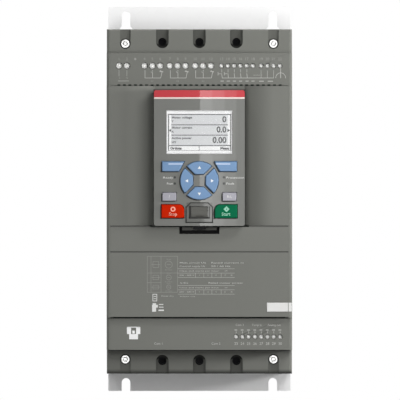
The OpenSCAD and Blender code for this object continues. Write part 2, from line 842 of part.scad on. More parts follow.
module extension_terminals() {
    terminal_row(extension_xs, signal_pitch, extension_d, extension_screw_z,
                 extension_low, signal_screw_r, signal_wire_w, false);
}

// Turned screw with a crowned head and a slot
module terminal_screw(x, z, panel_depth, head_r) {
    dome_r = (head_r * head_r + head_dome * head_dome) / (2 * head_dome);
    translate([x, head_sink - panel_depth, z]) rotate([90, 0, 0]) difference() {
        rotate_extrude() {
            intersection() {
                translate([0, -screw_head_h]) square([head_r, screw_head_h]);
                translate([0, -dome_r]) circle(dome_r);
            }
            translate([0, -screw_head_h - screw_shank_l]) square([screw_shank_r, screw_shank_l + EPS]);
        }
        rotate(-drive_turn) translate([-head_r - OVER, -drive_w / 2, -drive_depth])
            cube([2 * head_r + 2 * OVER, drive_w, drive_depth + OVER]);
    }
}

module relay_terminal_screws() {
    color(STEEL) for (x = relay_xs) terminal_screw(x, control_screw_z, control_d, relay_screw_r);
}

module signal_terminal_screws() {
    color(STEEL) {
        for (x = signal_xs) terminal_screw(x, control_screw_z, control_d, signal_screw_r);
        for (x = extension_xs) terminal_screw(x, extension_screw_z, extension_d, signal_screw_r);
    }
}

// Power terminals, drawn for the upper end and mirrored for the lower one

module lug(x) {
    color(ZINC) difference() {
        bar(x, lug_w, busbar_front, lug_front, -wall - lug_clear - lug_h, -wall - lug_clear);
        rod_z(x, cable_d, -wall - lug_clear - cable_bore_l, OVER, cable_r);
        rod_y(x, -access_offset, cable_d, lug_front + OVER, clamp_r + pilot_gap);
    }
}

module line_terminal(i) { translate([0, 0, body_top]) lug(pole_x(i)); }
module load_terminal(i) { translate([0, 0, body_bottom]) mirror([0, 0, 1]) lug(pole_x(i)); }

module clamp_screws() {
    color(STEEL) at_both_ends() for (i = [0:2]) difference() {
        rod_y(pole_x(i), -access_offset, cable_d + cable_r + 0.5, lug_front + 3, clamp_r);
        translate([pole_x(i), -lug_front + 1, -access_offset]) rotate([90, 0, 0])
            cylinder(h = 3 + OVER, r = clamp_r * 0.62, $fn = 6);
    }
}

module busbar(x, z0, z1) {
    bar(x, busbar_w, busbar_back, busbar_front, z0, z1);
}

module line_busbars() {
    color(COPPER) for (i = [0:2]) busbar(pole_x(i), busbar_end_z, lug_top - 2);
}

module load_busbars() {
    color(COPPER) for (i = [0:2]) busbar(pole_x(i), lug_bottom + 2, -busbar_end_z);
}

module heat_sink() {
    foot_fin_t = 2 * fin_t;
    pitch = (sink_w - foot_fin_t) / (fin_count - 1);
    base_back = sink_d - sink_base_t;
    color(ALUMINIUM) linear_extrude(sink_h, center = true) {
        translate([-sink_w / 2, -sink_d]) square([sink_w, sink_base_t]);
        for (i = [1:fin_count - 2])
            translate([-sink_w / 2 + foot_fin_t / 2 + i * pitch - fin_t / 2, -base_back - EPS])
                square([fin_t, base_back - plate_t - 3]);
        for (x = [-sink_w / 2, sink_w / 2 - foot_fin_t]) translate([x, -base_back - EPS])
            square([foot_fin_t, base_back - plate_t + EPS]);
    }
}

module thyristor_module(i) {
    x = pole_x(i);
    color(BLACK) union() {
        bar(x, module_w, sink_d, module_front - 8, -module_h / 2, module_h / 2);
        bar(x, module_w - 6, sink_d, module_front, -module_h / 2 + 6, module_h / 2 - 6);
        for (z = [-post_z, post_z]) rod_y(x, z, module_front - OVER, busbar_back, 4);
    }
}

module bypass_contactor(i) {
    x = pole_x(i);
    back = busbar_front + contactor_foot;
    color(GREY_DARK) union() {
        bar(x, module_w - 1, back, back + contactor_l, -contactor_h / 2, contactor_h / 2);
        bar(x, module_w - 2 * contactor_inset, back, back + contactor_l + contactor_step,
            -contactor_h / 4, contactor_h / 4);
        for (z = [-post_z, post_z]) bar(x, busbar_w, busbar_front, back + EPS, z - 6, z + 6);
    }
}

module current_transformers() {
    mid = (busbar_back + busbar_front) / 2;
    color(BLACK) for (i = [0:2]) difference() {
        bar(pole_x(i), module_w, mid - ct_l / 2, mid + ct_l / 2, ct_z - ct_h, ct_z);
        bar(pole_x(i), busbar_w + 2 * ct_gap, busbar_back - ct_gap, busbar_front + ct_gap,
            ct_z - ct_h - OVER, ct_z + OVER);
    }
}

module control_board() {
    color(BOARD_GREEN) union() {
        block(-inner_x + board_edge, inner_x - board_edge, board_d - board_t, board_d,
              extension_low, control_top - panel_t - board_edge);
        bar(0, plug_w, board_d - EPS, pocket_floor, plug_z - plug_h / 2, plug_z + plug_h / 2);
    }
}

// Fan under the heat sink
fan_d = plate_t + 1 + fan_w / 2;
fan_bottom = body_bottom + wall;
fan_wall = 2;
hub_r = 12;
shaft_r = 1.5;
shaft_gap = 0.05;
blade_count = 7;
blade_gap = 1;
blade_t = 1.2;
blade_l = 20;

module fan_frame() {
    top = fan_bottom + fan_t;
    bore_r = fan_w / 2 - fan_wall;
    color(BLACK) difference() {
        union() {
            difference() {
                bar(0, fan_w, fan_d - fan_w / 2, fan_d + fan_w / 2, fan_bottom, top);
                rod_z(0, fan_d, fan_bottom - OVER, top + OVER, bore_r);
            }
            rod_z(0, fan_d, top - 3, top, hub_r);
            for (a = [0, 90, 180, 270]) translate([0, -fan_d, 0]) rotate(a + 45)
                translate([0, -1.5, top - 3]) cube([bore_r + 1, 3, 3]);
            rod_z(0, fan_d, fan_bottom + 2, top - 3 + EPS, shaft_r);
        }
        for (sx = [-1, 1], sd = [-1, 1])
            rod_z(sx * (fan_w / 2 - 5), fan_d + sd * (fan_w / 2 - 5), fan_bottom - OVER, top + OVER, 2.2);
    }
}

module fan_rotor() {
    low = fan_bottom + 1;
    high = fan_bottom + fan_t - 3 - 0.3;
    tip_r = fan_w / 2 - fan_wall - blade_gap;
    color(BLACK) difference() {
        union() {
            rod_z(0, fan_d, low, high, hub_r);
            intersection() {
                translate([0, -fan_d, (low + high) / 2]) for (i = [0:blade_count - 1])
                    rotate(i * 360 / blade_count) rotate([38, 0, 0])
                        translate([hub_r - 2, -blade_t / 2, -blade_l / 2]) cube([tip_r, blade_t, blade_l]);
                rod_z(0, fan_d, low, high, tip_r);
            }
        }
        rod_z(0, fan_d, low - OVER, high + OVER, shaft_r + shaft_gap);
    }
}

// Keypad

// Everything behind the keypad's bowed face, moved out by a distance
module behind_face(out) {
    translate([0, face_r - keypad_d, keypad_bottom - OVER])
        cylinder(h = keypad_h + 2 * OVER, r = face_r + out, $fn = FINE_FN);
}

module keypad_area(inset) {
    round_area(-keypad_w / 2 + inset, keypad_w / 2 - inset, keypad_bottom + inset, keypad_top - inset,
               max(keypad_corner_r - inset, 0.4));
}

module soft_key_area(grow) {
    slope = soft_key_slope / soft_key_h;
    top = soft_key_top + grow;
    bottom = soft_key_top - soft_key_h - grow;
    inner = soft_key_x0 - grow * sqrt(1 + slope * slope);
    polygon([
        [inner - slope * grow, top], [soft_key_x1 + grow, top],
        [soft_key_x1 + grow, bottom], [inner + slope * (soft_key_h + grow), bottom]
    ]);
}

// The ring's key that points up
module arrow_area(grow) {
    offset_z = (ring_gap / 2 - grow) * sqrt(2);
    inner = ring_inner - grow;
    far = ring_r + 5;
    intersection() {
        circle(ring_r + grow);
        polygon([
            [offset_z - inner, inner], [inner - offset_z, inner],
            [far, far + offset_z], [-far, far + offset_z]
        ]);
    }
}

module side_key_area(grow) {
    round_area(side_key_x0 - grow, side_key_x1 + grow, side_key_top - side_key_h - grow,
               side_key_top + grow, 0.6);
}

module run_key_area(grow) {
    x0 = run_key_x0 - grow;
    x1 = run_key_x1 + grow;
    z0 = run_key_top - run_key_h - grow;
    z1 = run_key_top + grow;
    r = run_key_r;
    translate([x0 + r, z1 - r]) circle(r);
    area(x0, x1, z0, z1 - r);
    area(x0 + r, x1, z1 - r - EPS, z1);
}

module arrow_place(turn) {
    translate([0, ring_z]) rotate(turn) children();
}

// Drawings of the keys that stand on the right; the left ones are mirrored
module key_openings() {
    for (m = [0, 1]) mirror([m, 0]) {
        soft_key_area(key_gap);
        side_key_area(key_gap);
        run_key_area(key_gap);
    }
    for (a = [0, 90, 180, 270]) arrow_place(a) arrow_area(key_gap);
}

// A key from its drawing and its flange's drawing: the cap follows the bowed face,
// the flange holds it behind the face
module key_cap() {
    intersection() {
        slab(key_back_d, keypad_d + key_proud + OVER) children(0);
        behind_face(key_proud);
    }
    slab(key_back_d, key_back_d + flange_t) children(1);
}

module port_area(grow) {
    w = port_w / 2 + grow;
    z1 = port_top + grow;
    z0 = port_top - port_h - grow;
    polygon([
        [-w, z0], [w, z0], [w, z1 - port_cut],
        [w - port_cut, z1], [port_cut - w, z1], [-w, z1 - port_cut]
    ]);
}

module flap_area(grow) {
    area(-flap_w / 2 - grow, flap_w / 2 + grow, hinge_z - flap_h - grow, hinge_z + flap_barrel_r + grow);
}

module lamp_places() {
    for (x = [-lamp_x, lamp_x], z = [ring_z - lamp_down, ring_z + lamp_up]) translate([x, z]) children();
}

module keypad_bezel() {
    color(SILVER_GREY) difference() {
        union() {
            intersection() {
                slab(keypad_parting_d, keypad_d + OVER) keypad_area(0);
                difference() {
                    behind_face(0);
                    difference() {
                        block(-keypad_w, keypad_w, keypad_parting_d, keypad_d + 2 * OVER,
                              keypad_top - strip_h, keypad_top + 2 * OVER);
                        behind_face(-strip_t);
                    }
                }
            }
            slab(bezel_inner_d, keypad_d + port_proud) port_area(0);
        }
        slab(keypad_parting_d - OVER, bezel_inner_d) keypad_area(keypad_wall);
        slab(bezel_inner_d - OVER, keypad_d + OVER) key_openings();
        slab(bezel_inner_d - OVER, keypad_d + OVER)
            area(-display_w / 2, display_w / 2, display_top - display_h, display_top);
        slab(bezel_inner_d - OVER, keypad_d + OVER) lamp_places() circle(lamp_r + hinge_gap);
        slab(keypad_d - port_groove_depth, keypad_d + OVER) difference() {
            port_area(port_groove_w);
            port_area(0);
        }
        slab(port_floor, keypad_d + 2 * OVER) flap_area(flap_gap);
        bar(0, 8.4, bezel_inner_d - OVER, port_floor + OVER, hinge_z - 6.4, hinge_z - 2.4);
        rod_x(-flap_w / 2 - 1.2, flap_w / 2 + 1.2, hinge_d, hinge_z, hinge_r + hinge_gap);
    }
}

latch_w = 10;
latch_front = keypad_parting_d - 2;
latch_back = latch_front - 6;
latch_reach = 2.8;
latch_travel = 1.5;
latch_gap = 0.3;

module keypad_back() {
    post_r = 2.5;
    back_x = keypad_w / 2 - 8;
    color(SILVER_GREY) difference() {
        union() {
            difference() {
                slab(keypad_rear, keypad_parting_d) keypad_area(0);
                slab(keypad_rear + keypad_wall, keypad_parting_d + OVER) keypad_area(keypad_wall);
            }
            for (x = [-back_x, back_x], z = [keypad_bottom + 8, keypad_top - 8])
                rod_y(x, z, keypad_rear + keypad_wall - EPS, keypad_board_front - board_t, post_r);
        }
        bar(0, plug_w + plug_gap, keypad_rear - OVER, keypad_rear + keypad_wall + OVER,
            plug_z - plug_h / 2 - plug_gap / 2, plug_z + plug_h / 2 + plug_gap / 2);
        bar(0, latch_w + 2 * latch_gap, latch_back - latch_gap, latch_front + latch_gap,
            keypad_bottom - OVER, keypad_bottom + keypad_wall + OVER);
    }
}

// Sliding latch that sticks out under the keypad
module keypad_latch() {
    top = keypad_bottom + keypad_wall + 0.1;
    color(BLACK) union() {
        bar(0, latch_w, latch_back, latch_front, keypad_bottom - latch_reach, top + 3);
        bar(0, latch_w + 4, latch_back, latch_front, top, top + 1.5);
    }
}

module accent_strip() {
    color(STRIP_RED) intersection() {
        slab(keypad_parting_d, keypad_d + OVER) keypad_area(0);
        block(-keypad_w, keypad_w, keypad_parting_d, keypad_d + OVER,
              keypad_top - strip_h + 0.05, keypad_top + OVER);
        difference() {
            behind_face(0);
            behind_face(-strip_t);
        }
    }
}

screen_gap = 0.3;

module display_window() {
    color([0.9, 0.93, 0.95, 0.4]) slab(window_front - window_t, window_front)
        area(-display_w / 2 + screen_gap, display_w / 2 - screen_gap,
             display_top - display_h + screen_gap, display_top - screen_gap);
}

module display_module() {
    w = display_w / 2;
    color(WHITE) union() {
        slab(keypad_board_front, bezel_inner_d - 0.2)
            area(-w - 2, w + 2, display_top - display_h - 2, display_top + 2);
        slab(bezel_inner_d - 0.2 - EPS, window_front - window_t - 0.1)
            area(-w + screen_gap, w - screen_gap,
                 display_top - display_h + screen_gap, display_top - screen_gap);
    }
}

module keypad_board() {
    edge = keypad_wall + 0.6;
    back = keypad_board_front - board_t;
    color(BOARD_GREEN) union() {
        slab(back, keypad_board_front) keypad_area(edge);
        bar(0, plug_w, keypad_rear + keypad_wall + 1, back + EPS, plug_z - plug_h / 2, plug_z + plug_h / 2);
    }
}

// Rubber mat under the keys, with holes for the lamps and a cut-out for the data port
module key_mat() {
    mat_x = soft_key_x1 + mat_edge;
    color(GREY_DARK) slab(keypad_board_front, mat_front_d) difference() {
        area(-mat_x, mat_x, keypad_bottom + mat_foot, soft_key_top + mat_head);
        port_area(0.5);
        area(-port_w / 2 - 0.5, port_w / 2 + 0.5, keypad_bottom, port_top - port_h + 2);
        lamp_places() circle(lamp_r + 0.6);
    }
}

module status_lamps() {
    color(GREEN) intersection() {
        slab(keypad_board_front, keypad_d + OVER) lamp_places() circle(lamp_r);
        behind_face(0.1);
    }
}

// Flap over the data port: flat at its hinge, crowned below it, with the pin that it turns on
module data_port_flap() {
    low = hinge_z - flap_h;
    bulge_l = flap_h - flap_neck;
    bulge_r = (bulge_l * bulge_l / 4 + flap_bulge * flap_bulge) / (2 * flap_bulge);
    crown_d = flap_front + flap_bulge - bulge_r;
    color(GREY_DARK) union() {
        difference() {
            union() {
                block(-flap_w / 2, flap_w / 2, flap_front - flap_t, flap_front, low, hinge_z);
                intersection() {
                    block(-flap_w / 2, flap_w / 2, flap_front - flap_t / 2, flap_front + flap_bulge,
                          low, low + bulge_l);
                    rod_x(-flap_w / 2, flap_w / 2, crown_d, low + bulge_l / 2, bulge_r);
                }
            }
            rod_x(-3, 3, flap_front + 0.6, low + 0.4, 1);
        }
        rod_x(-flap_w / 2, flap_w / 2, hinge_d, hinge_z, flap_barrel_r);
        rod_x(-flap_w / 2 - 1, flap_w / 2 + 1, hinge_d, hinge_z, hinge_r);
    }
}

module soft_key_right() {
    color(BLUE) key_cap() {
        soft_key_area(0);
        soft_key_area(flange_w);
    }
}

module arrow_key(turn) {
    color(BLUE) key_cap() {
        arrow_place(turn) arrow_area(0);
        arrow_place(turn) arrow_area(flange_w);
    }
}

module side_key_right() {
    color(PALE) key_cap() {
        side_key_area(0);
        side_key_area(flange_w);
    }
}

module run_key_right(paint) {
    color(paint) key_cap() {
        run_key_area(0);
        run_key_area(flange_w);
    }
}

mounting_plate();
rear_housing();
front_housing();
terminal_panel();
keypad_cover();
latch_panel();
lower_cover();
extension_panel();
marker_tag();
housing_screws();
supply_terminals();
relay_terminals(0);  // relay_terminals_1
relay_terminals(1);  // relay_terminals_2
relay_terminals(2);  // relay_terminals_3
input_terminals();
output_terminals();
extension_terminals();
relay_terminal_screws();
signal_terminal_screws();
line_terminal(0);  // line_terminal_1
line_terminal(1);  // line_terminal_2
line_terminal(2);  // line_terminal_3
load_terminal(0);  // load_terminal_1
load_terminal(1);  // load_terminal_2
load_terminal(2);  // load_terminal_3
clamp_screws();
line_busbars();
load_busbars();
heat_sink();
thyristor_module(0);  // thyristor_module_1
thyristor_module(1);  // thyristor_module_2
thyristor_module(2);  // thyristor_module_3
bypass_contactor(0);  // bypass_contactor_1
bypass_contactor(1);  // bypass_contactor_2
bypass_contactor(2);  // bypass_contactor_3
current_transformers();
control_board();
fan_frame();
fan_rotor();
keypad_bezel();
keypad_back();
accent_strip();
display_window();
display_module();
keypad_board();
key_mat();
status_lamps();
data_port_flap();
keypad_latch();
mirror([1, 0, 0]) soft_key_right();  // soft_key_left
soft_key_right();
arrow_key(0);  // arrow_key_up
arrow_key(180);  // arrow_key_down
arrow_key(90);  // arrow_key_left
arrow_key(270);  // arrow_key_right
mirror([1, 0, 0]) side_key_right();  // info_key
side_key_right();  // mode_key
mirror([1, 0, 0]) run_key_right(RED);  // stop_key
run_key_right(GREEN);  // start_key
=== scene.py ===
import bpy
import json
import math
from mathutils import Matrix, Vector

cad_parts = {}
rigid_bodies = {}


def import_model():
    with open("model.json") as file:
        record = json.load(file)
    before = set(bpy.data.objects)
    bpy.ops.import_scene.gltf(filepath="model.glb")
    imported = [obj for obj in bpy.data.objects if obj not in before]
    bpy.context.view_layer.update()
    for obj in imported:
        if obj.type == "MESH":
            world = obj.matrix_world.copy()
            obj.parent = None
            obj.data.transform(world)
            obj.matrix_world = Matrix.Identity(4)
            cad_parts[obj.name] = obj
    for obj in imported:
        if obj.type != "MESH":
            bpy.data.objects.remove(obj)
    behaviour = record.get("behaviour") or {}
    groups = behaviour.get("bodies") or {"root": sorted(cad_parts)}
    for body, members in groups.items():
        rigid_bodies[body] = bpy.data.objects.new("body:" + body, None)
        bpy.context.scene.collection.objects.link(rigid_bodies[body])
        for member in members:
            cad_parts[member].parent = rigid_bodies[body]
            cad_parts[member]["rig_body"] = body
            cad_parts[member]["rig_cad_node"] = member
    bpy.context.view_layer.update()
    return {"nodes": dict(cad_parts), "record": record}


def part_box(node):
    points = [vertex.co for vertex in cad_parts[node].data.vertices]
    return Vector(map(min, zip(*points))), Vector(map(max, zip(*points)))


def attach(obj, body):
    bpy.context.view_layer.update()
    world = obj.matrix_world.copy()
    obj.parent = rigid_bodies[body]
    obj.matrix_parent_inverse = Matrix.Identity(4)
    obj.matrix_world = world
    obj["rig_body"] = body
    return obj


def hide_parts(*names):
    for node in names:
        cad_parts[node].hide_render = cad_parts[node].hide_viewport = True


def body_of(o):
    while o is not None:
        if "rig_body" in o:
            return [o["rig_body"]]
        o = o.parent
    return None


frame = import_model()
mm = 0.001
scene = bpy.context.scene
print("frame loaded:", len(frame["nodes"]), "nodes")


# depths of the printed faces from the wall, the keypad's bow and how far its keys stand out, in mm
faces = {
    "terminal": 174.0,
    "lower": 186.0,
    "extension": 180.0,
    "shoulder": 150.0,
    "keypad": 198.0,
    "screen": 196.3065,
    "bowRadius": 450.0,
    "keyProud": 1.6,
}


def deselectAll():
    if bpy.context.object and bpy.context.object.mode != "OBJECT":
        bpy.ops.object.mode_set(mode="OBJECT")
    bpy.ops.object.select_all(action="DESELECT")


# selects pieces, the first of them active
def pick(*pieces):
    deselectAll()
    for piece in pieces:
        piece.select_set(True)
    bpy.context.view_layer.objects.active = pieces[0]


def editAll():
    bpy.ops.object.mode_set(mode="EDIT")
    bpy.ops.mesh.select_all(action="SELECT")


def leaveEdit():
    bpy.ops.object.mode_set(mode="OBJECT")


def applyPlace():
    bpy.ops.object.transform_apply(location=True, rotation=True, scale=True)


# a copy of a CAD node, to be shaped
def copyNode(name):
    pick(frame["nodes"][name])
    bpy.ops.object.duplicate()
    piece = bpy.context.object
    del piece["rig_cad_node"]
    bpy.ops.mesh.customdata_custom_splitnormals_clear()
    return piece


# the corners of a box in mm
def inMm(corners):
    return [[v / mm for v in corner] for corner in corners]


# depth of the bowed keypad face, or of a face in front of it
def bowedDepth(x, out=0.0):
    r = faces["bowRadius"] + out
    return faces["keypad"] + out - (r - math.sqrt(r * r - x * x))


# turn of the bowed face at x
def bowLean(x):
    return math.asin(x / faces["bowRadius"])


# shader maths

class Wire:
    def __init__(self, tree, socket=None):
        self.tree = tree
        self.socket = socket

    # any node: its type, its settings, then the values or links of its sockets
    def node(self, kind, settings=None, sockets=None, out=0):
        made = self.tree.nodes.new(kind)
        for key, value in (settings or {}).items():
            setattr(made, key, value)
        self.feed(made, sockets or {})
        return Wire(self.tree, made.outputs[out])

    def feed(self, made, sockets):
        for key, value in sockets.items():
            if isinstance(value, Wire):
                self.tree.links.new(value.socket, made.inputs[key])
            else:
                made.inputs[key].default_value = value

    # every output of this wire's node
    def outputs(self):
        return [Wire(self.tree, out) for out in self.socket.node.outputs]

    def maths(self, operation, left, right=None):
        values = {0: left} if right is None else {0: left, 1: right}
        return self.node("ShaderNodeMath", {"operation": operation}, values)

    def __add__(self, other):
        return self.maths("ADD", self, other)

    def __radd__(self, other):
        return self.maths("ADD", other, self)

    def __sub__(self, other):
        return self.maths("SUBTRACT", self, other)

    def __rsub__(self, other):
        return self.maths("SUBTRACT", other, self)

    def __mul__(self, other):
        return self.maths("MULTIPLY", self, other)

    def __rmul__(self, other):
        return self.maths("MULTIPLY", other, self)

    def __truediv__(self, other):
        return self.maths("DIVIDE", self, other)

    def __rtruediv__(self, other):
        return self.maths("DIVIDE", other, self)

    def __gt__(self, other):
        return self.maths("GREATER_THAN", self, other)

    def __lt__(self, other):
        return self.maths("LESS_THAN", self, other)


def srgb(r, g, b):
    def linear(v):
        v = v / 255
        return v / 12.92 if v <= 0.04045 else ((v + 0.055) / 1.055) ** 2.4
    return (linear(r), linear(g), linear(b), 1.0)


black = (0.0, 0.0, 0.0, 1.0)
white = (1.0, 1.0, 1.0, 1.0)


def mixColour(w, factor, first, second):
    return w.node("ShaderNodeMix", {"data_type": "RGBA"}, {0: factor, 6: first, 7: second}, out=2)


# a colour made darker or lighter
def toned(colour, share):
    return tuple(min(c * share, 1.0) for c in colour[:3]) + (1.0,)


# a colour that a pattern moves between two shares of itself
def toneMix(w, pattern, colour, low, high=1.0):
    return mixColour(w, pattern, toned(colour, low), toned(colour, high))


# one pattern by its share, the rest from another
def mixed(first, second, share):
    return first * share + second * (1 - share)


# a value that a pattern spreads about its middle
def uneven(middle, spread, pattern):
    return middle - spread / 2 + spread * pattern


def noise(w, place, scale, detail):
    return w.node("ShaderNodeTexNoise", {}, {"Vector": place, "Scale": scale, "Detail": detail})


def bumps(w, strength, height, pattern):
    return w.node("ShaderNodeBump", {}, {"Strength": strength, "Distance": height * mm, "Height": pattern})


def objectPlace(w):
    return w.node("ShaderNodeTexCoord", out=3)


def placeAxes(w):
    return w.node("ShaderNodeSeparateXYZ", {}, {"Vector": objectPlace(w)}).outputs()


# 1 inside a box of the front, (x0, x1, z0, z1) in mm
def inBox(x, z, box):
    x0, x1, z0, z1 = (v * mm for v in box)
    return (x > x0) * (x < x1) * (z > z0) * (z < z1)


# 0 to 1 over a length in mm
def rise(w, value, length):
    return w.node("ShaderNodeClamp", {}, {"Value": value / (length * mm)})


# an empty node tree and its output
def emptyTree(owner, output):
    owner.use_nodes = True
    owner.node_tree.nodes.clear()
    return Wire(owner.node_tree), owner.node_tree.nodes.new(output)


def newMaterial(name):
    mat = bpy.data.materials.new(name)
    w, end = emptyTree(mat, "ShaderNodeOutputMaterial")
    shader = w.node("ShaderNodeBsdfPrincipled")
    w.feed(end, {"Surface": shader})
    return mat, w, shader.socket.node


# moulded plastic: a spark-eroded grain, cloudy tone and a little uneven gloss
plastic = {
    "cloudScale": 9.0, "cloudShare": 0.7, "grainScale": 2600.0, "grainHeight": 0.04,
    "glossSpread": 0.12, "coatRough": 0.12,
}


def mouldedPlastic(name, colour, rough=0.5, grain=0.25, tone=0.06, coat=0.0, shine=0.2):
    p = plastic
    mat, w, shader = newMaterial(name)
    place = objectPlace(w)
    cloud = noise(w, place, p["cloudScale"], 3.0)
    fine = noise(w, place, p["grainScale"], 2.0)
    w.feed(shader, {
        "Base Color": toneMix(w, mixed(cloud, fine, p["cloudShare"]), colour, 1 - tone, 1 + tone),
        "Roughness": uneven(rough, p["glossSpread"], fine),
        "Specular IOR Level": shine,
        "Coat Weight": coat,
        "Coat Roughness": p["coatRough"],
    })
    if grain:
        w.feed(shader, {"Normal": bumps(w, grain, p["grainHeight"], fine)})
    return mat


# a finished plastic's maths, shader and colour, to put a second colour over it
def overPlastic(mat):
    shader = next(n for n in mat.node_tree.nodes if n.type == "BSDF_PRINCIPLED")
    colour = shader.inputs["Base Color"].links[0].from_socket
    return Wire(mat.node_tree), shader, Wire(mat.node_tree, colour)


# the latch panel's finger recess, in mm: near black painted shade behind a depth from the wall, with a paler
# ledge at its top
recess = {
    "lining": 183.4, "recessShadeColour": srgb(16, 16, 16),
    "ledgeHalf": 13.9, "ledgeLow": -25.3, "ledgeColour": srgb(120, 120, 116),
}


def recessPlastic(name, colour, p):
    mat = mouldedPlastic(name, colour, rough=0.55)
    w, shader, tone = overPlastic(mat)
    x, y, z = placeAxes(w)
    # painted shade: near black inside the recess, save the ledge at its top
    half = p["ledgeHalf"] * mm
    ledge = (x < half) * (x > -half) * (z > p["ledgeLow"] * mm)
    lining = mixColour(w, ledge, p["recessShadeColour"], p["ledgeColour"])
    w.feed(shader, {"Base Color": mixColour(w, y > -p["lining"] * mm, tone, lining)})
    return mat


# the shoulders' cable grooves, in mm: their reach along the ends, depths from the wall, and shares of black
# painted in as shade
grooves = {
    "middle": -2.0, "near": 120.2, "far": 139.3, "half": 68.0, "face": 146.8, "slope": 1.5,
    "hole": 128.4, "arch": 1.2, "floor": 0.24, "round": 0.45, "rim": 149.0, "sunk": 0.2,
    "lower": -137.6, "lowerDrop": 3.4, "edge": 0.78,
}


# housing grey with painted shade: it darkens down in the grooves, most of all under their round ends, and at
# the lower edge
def groovedPlastic(name, colour, p):
    mat = mouldedPlastic(name, colour, rough=0.6)
    w, shader, tone = overPlastic(mat)
    x, y, z = placeAxes(w)
    away = w.maths("ABSOLUTE", z - p["middle"] * mm)
    aside = w.maths("ABSOLUTE", x)
    inEnd = (away > p["near"] * mm) * (away < p["far"] * mm) * (aside < p["half"] * mm)
    # painted shade, deeper into the grooves and under their round ends
    sunk = rise(w, y + p["rim"] * mm, p["slope"])
    deep = rise(w, y + p["face"] * mm, p["slope"])
    arch = rise(w, p["hole"] * mm - away, p["arch"])
    # painted shade towards the lower edge
    under = rise(w, p["lower"] * mm - z, p["lowerDrop"])
    grooveShade = inEnd * (p["sunk"] * sunk + deep * (p["floor"] + p["round"] * arch))
    shade = w.maths("MAXIMUM", grooveShade, p["edge"] * under)
    w.feed(shader, {"Base Color": mixColour(w, shade, tone, black)})
    return mat


# metal with fine drawn lines along one axis
metal = {
    "lineScale": 900.0, "lineShare": 0.5, "lineStrength": 0.12, "lineHeight": 0.03,
    "cloudScale": 30.0, "glossSpread": 0.16,
}
alongZ, noLines = (1, 1, 60), (1, 1, 1)


def drawnMetal(name, colour, rough=0.35, stretch=alongZ, tone=0.1, metallic=1.0):
    p = metal
    mat, w, shader = newMaterial(name)
    place = objectPlace(w)
    turned = w.node("ShaderNodeMapping", {}, {"Vector": place, "Scale": stretch})
    lines = noise(w, turned, p["lineScale"], 2.0)
    cloud = noise(w, place, p["cloudScale"], 4.0)
    w.feed(shader, {
        "Base Color": toneMix(w, mixed(lines, cloud, p["lineShare"]), colour, 1 - tone, 1 + tone),
        "Roughness": uneven(rough, p["glossSpread"], cloud),
        "Normal": bumps(w, p["lineStrength"], p["lineHeight"], lines),
        "Metallic": metallic,
    })
    return mat


# galvanised sheet: pale zinc with faint crystal patches
zinc = {
    "patchScale": 140.0, "patchShare": 0.5, "patchStrength": 0.06, "patchHeight": 0.05,
    "cloudScale": 22.0, "dark": 0.94, "rough": 0.41, "glossSpread": 0.1, "metallic": 0.2,
}


def zincSheet(name, colour):
    p = zinc
    mat, w, shader = newMaterial(name)
    place = objectPlace(w)
    patches = w.node("ShaderNodeTexVoronoi", {"feature": "F1"},
                     {"Vector": place, "Scale": p["patchScale"], "Randomness": 1.0}, out=1)
    grey = w.node("ShaderNodeRGBToBW", {}, {"Color": patches})
    cloud = noise(w, place, p["cloudScale"], 5.0)
    w.feed(shader, {
        "Base Color": toneMix(w, mixed(grey, cloud, p["patchShare"]), colour, p["dark"]),
        "Roughness": uneven(p["rough"], p["glossSpread"], grey),
        "Normal": bumps(w, p["patchStrength"], p["patchHeight"], grey),
        "Metallic": p["metallic"],
    })
    return mat


# satin metallic paint on the keypad's shells, with a darker frame round the data port
satin = {
    "flakeScale": 5200.0, "flakeShare": 0.6, "cloudScale": 14.0, "tone": 0.1,
    "rough": 0.44, "glossSpread": 0.08, "metallic": 0.12, "shine": 0.2, "coat": 0.55, "coatRough": 0.02,
    "frame": (-10.4, 10.4, -19.0, -2.9), "frameShade": 0.3,
}


def metallicPaint(name, colour):
    p = satin
    mat, w, shader = newMaterial(name)
    place = objectPlace(w)
    x, _, z = placeAxes(w)
    flakes = noise(w, place, p["flakeScale"], 1.0)
    cloud = noise(w, place, p["cloudScale"], 2.0)
    tone = toneMix(w, mixed(flakes, cloud, p["flakeShare"]), colour, 1 - p["tone"], 1 + p["tone"])
    shaded = mixColour(w, p["frameShade"], tone, black)
    w.feed(shader, {
        "Base Color": mixColour(w, inBox(x, z, p["frame"]), tone, shaded),
        "Roughness": uneven(p["rough"], p["glossSpread"], flakes),
        "Metallic": p["metallic"],
        "Specular IOR Level": p["shine"],
        "Coat Weight": p["coat"],
        "Coat Roughness": p["coatRough"],
    })
    return mat


# red strip with a pale line along its lower edge
strip = {
    "lineTop": 82.2, "lineColour": srgb(226, 210, 204), "cloudScale": 60.0, "dark": 0.94,
    "rough": 0.31, "glossSpread": 0.06, "shine": 0.2, "coat": 0.6, "coatRough": 0.02,
}


def stripPlastic(name, colour):
    p = strip
    mat, w, shader = newMaterial(name)
    _, _, z = placeAxes(w)
    cloud = noise(w, objectPlace(w), p["cloudScale"], 3.0)
    red = toneMix(w, cloud, colour, p["dark"])
    w.feed(shader, {
        "Base Color": mixColour(w, z < p["lineTop"] * mm, red, p["lineColour"]),
        "Roughness": uneven(p["rough"], p["glossSpread"], cloud),
        "Specular IOR Level": p["shine"],
        "Coat Weight": p["coat"],
        "Coat Roughness": p["coatRough"],
    })
    return mat


# back-lit screen: a pale edge and a greyer field behind the rows
screen = {
    "field": (-22.6, 22.9, 43.4, 68.0), "fieldColour": srgb(202, 203, 205), "cloudScale": 40.0,
    "cloudShare": 0.8, "rowScale": 900.0, "shade": 0.06, "glow": 0.08, "shine": 0.1, "rough": 0.5,
}


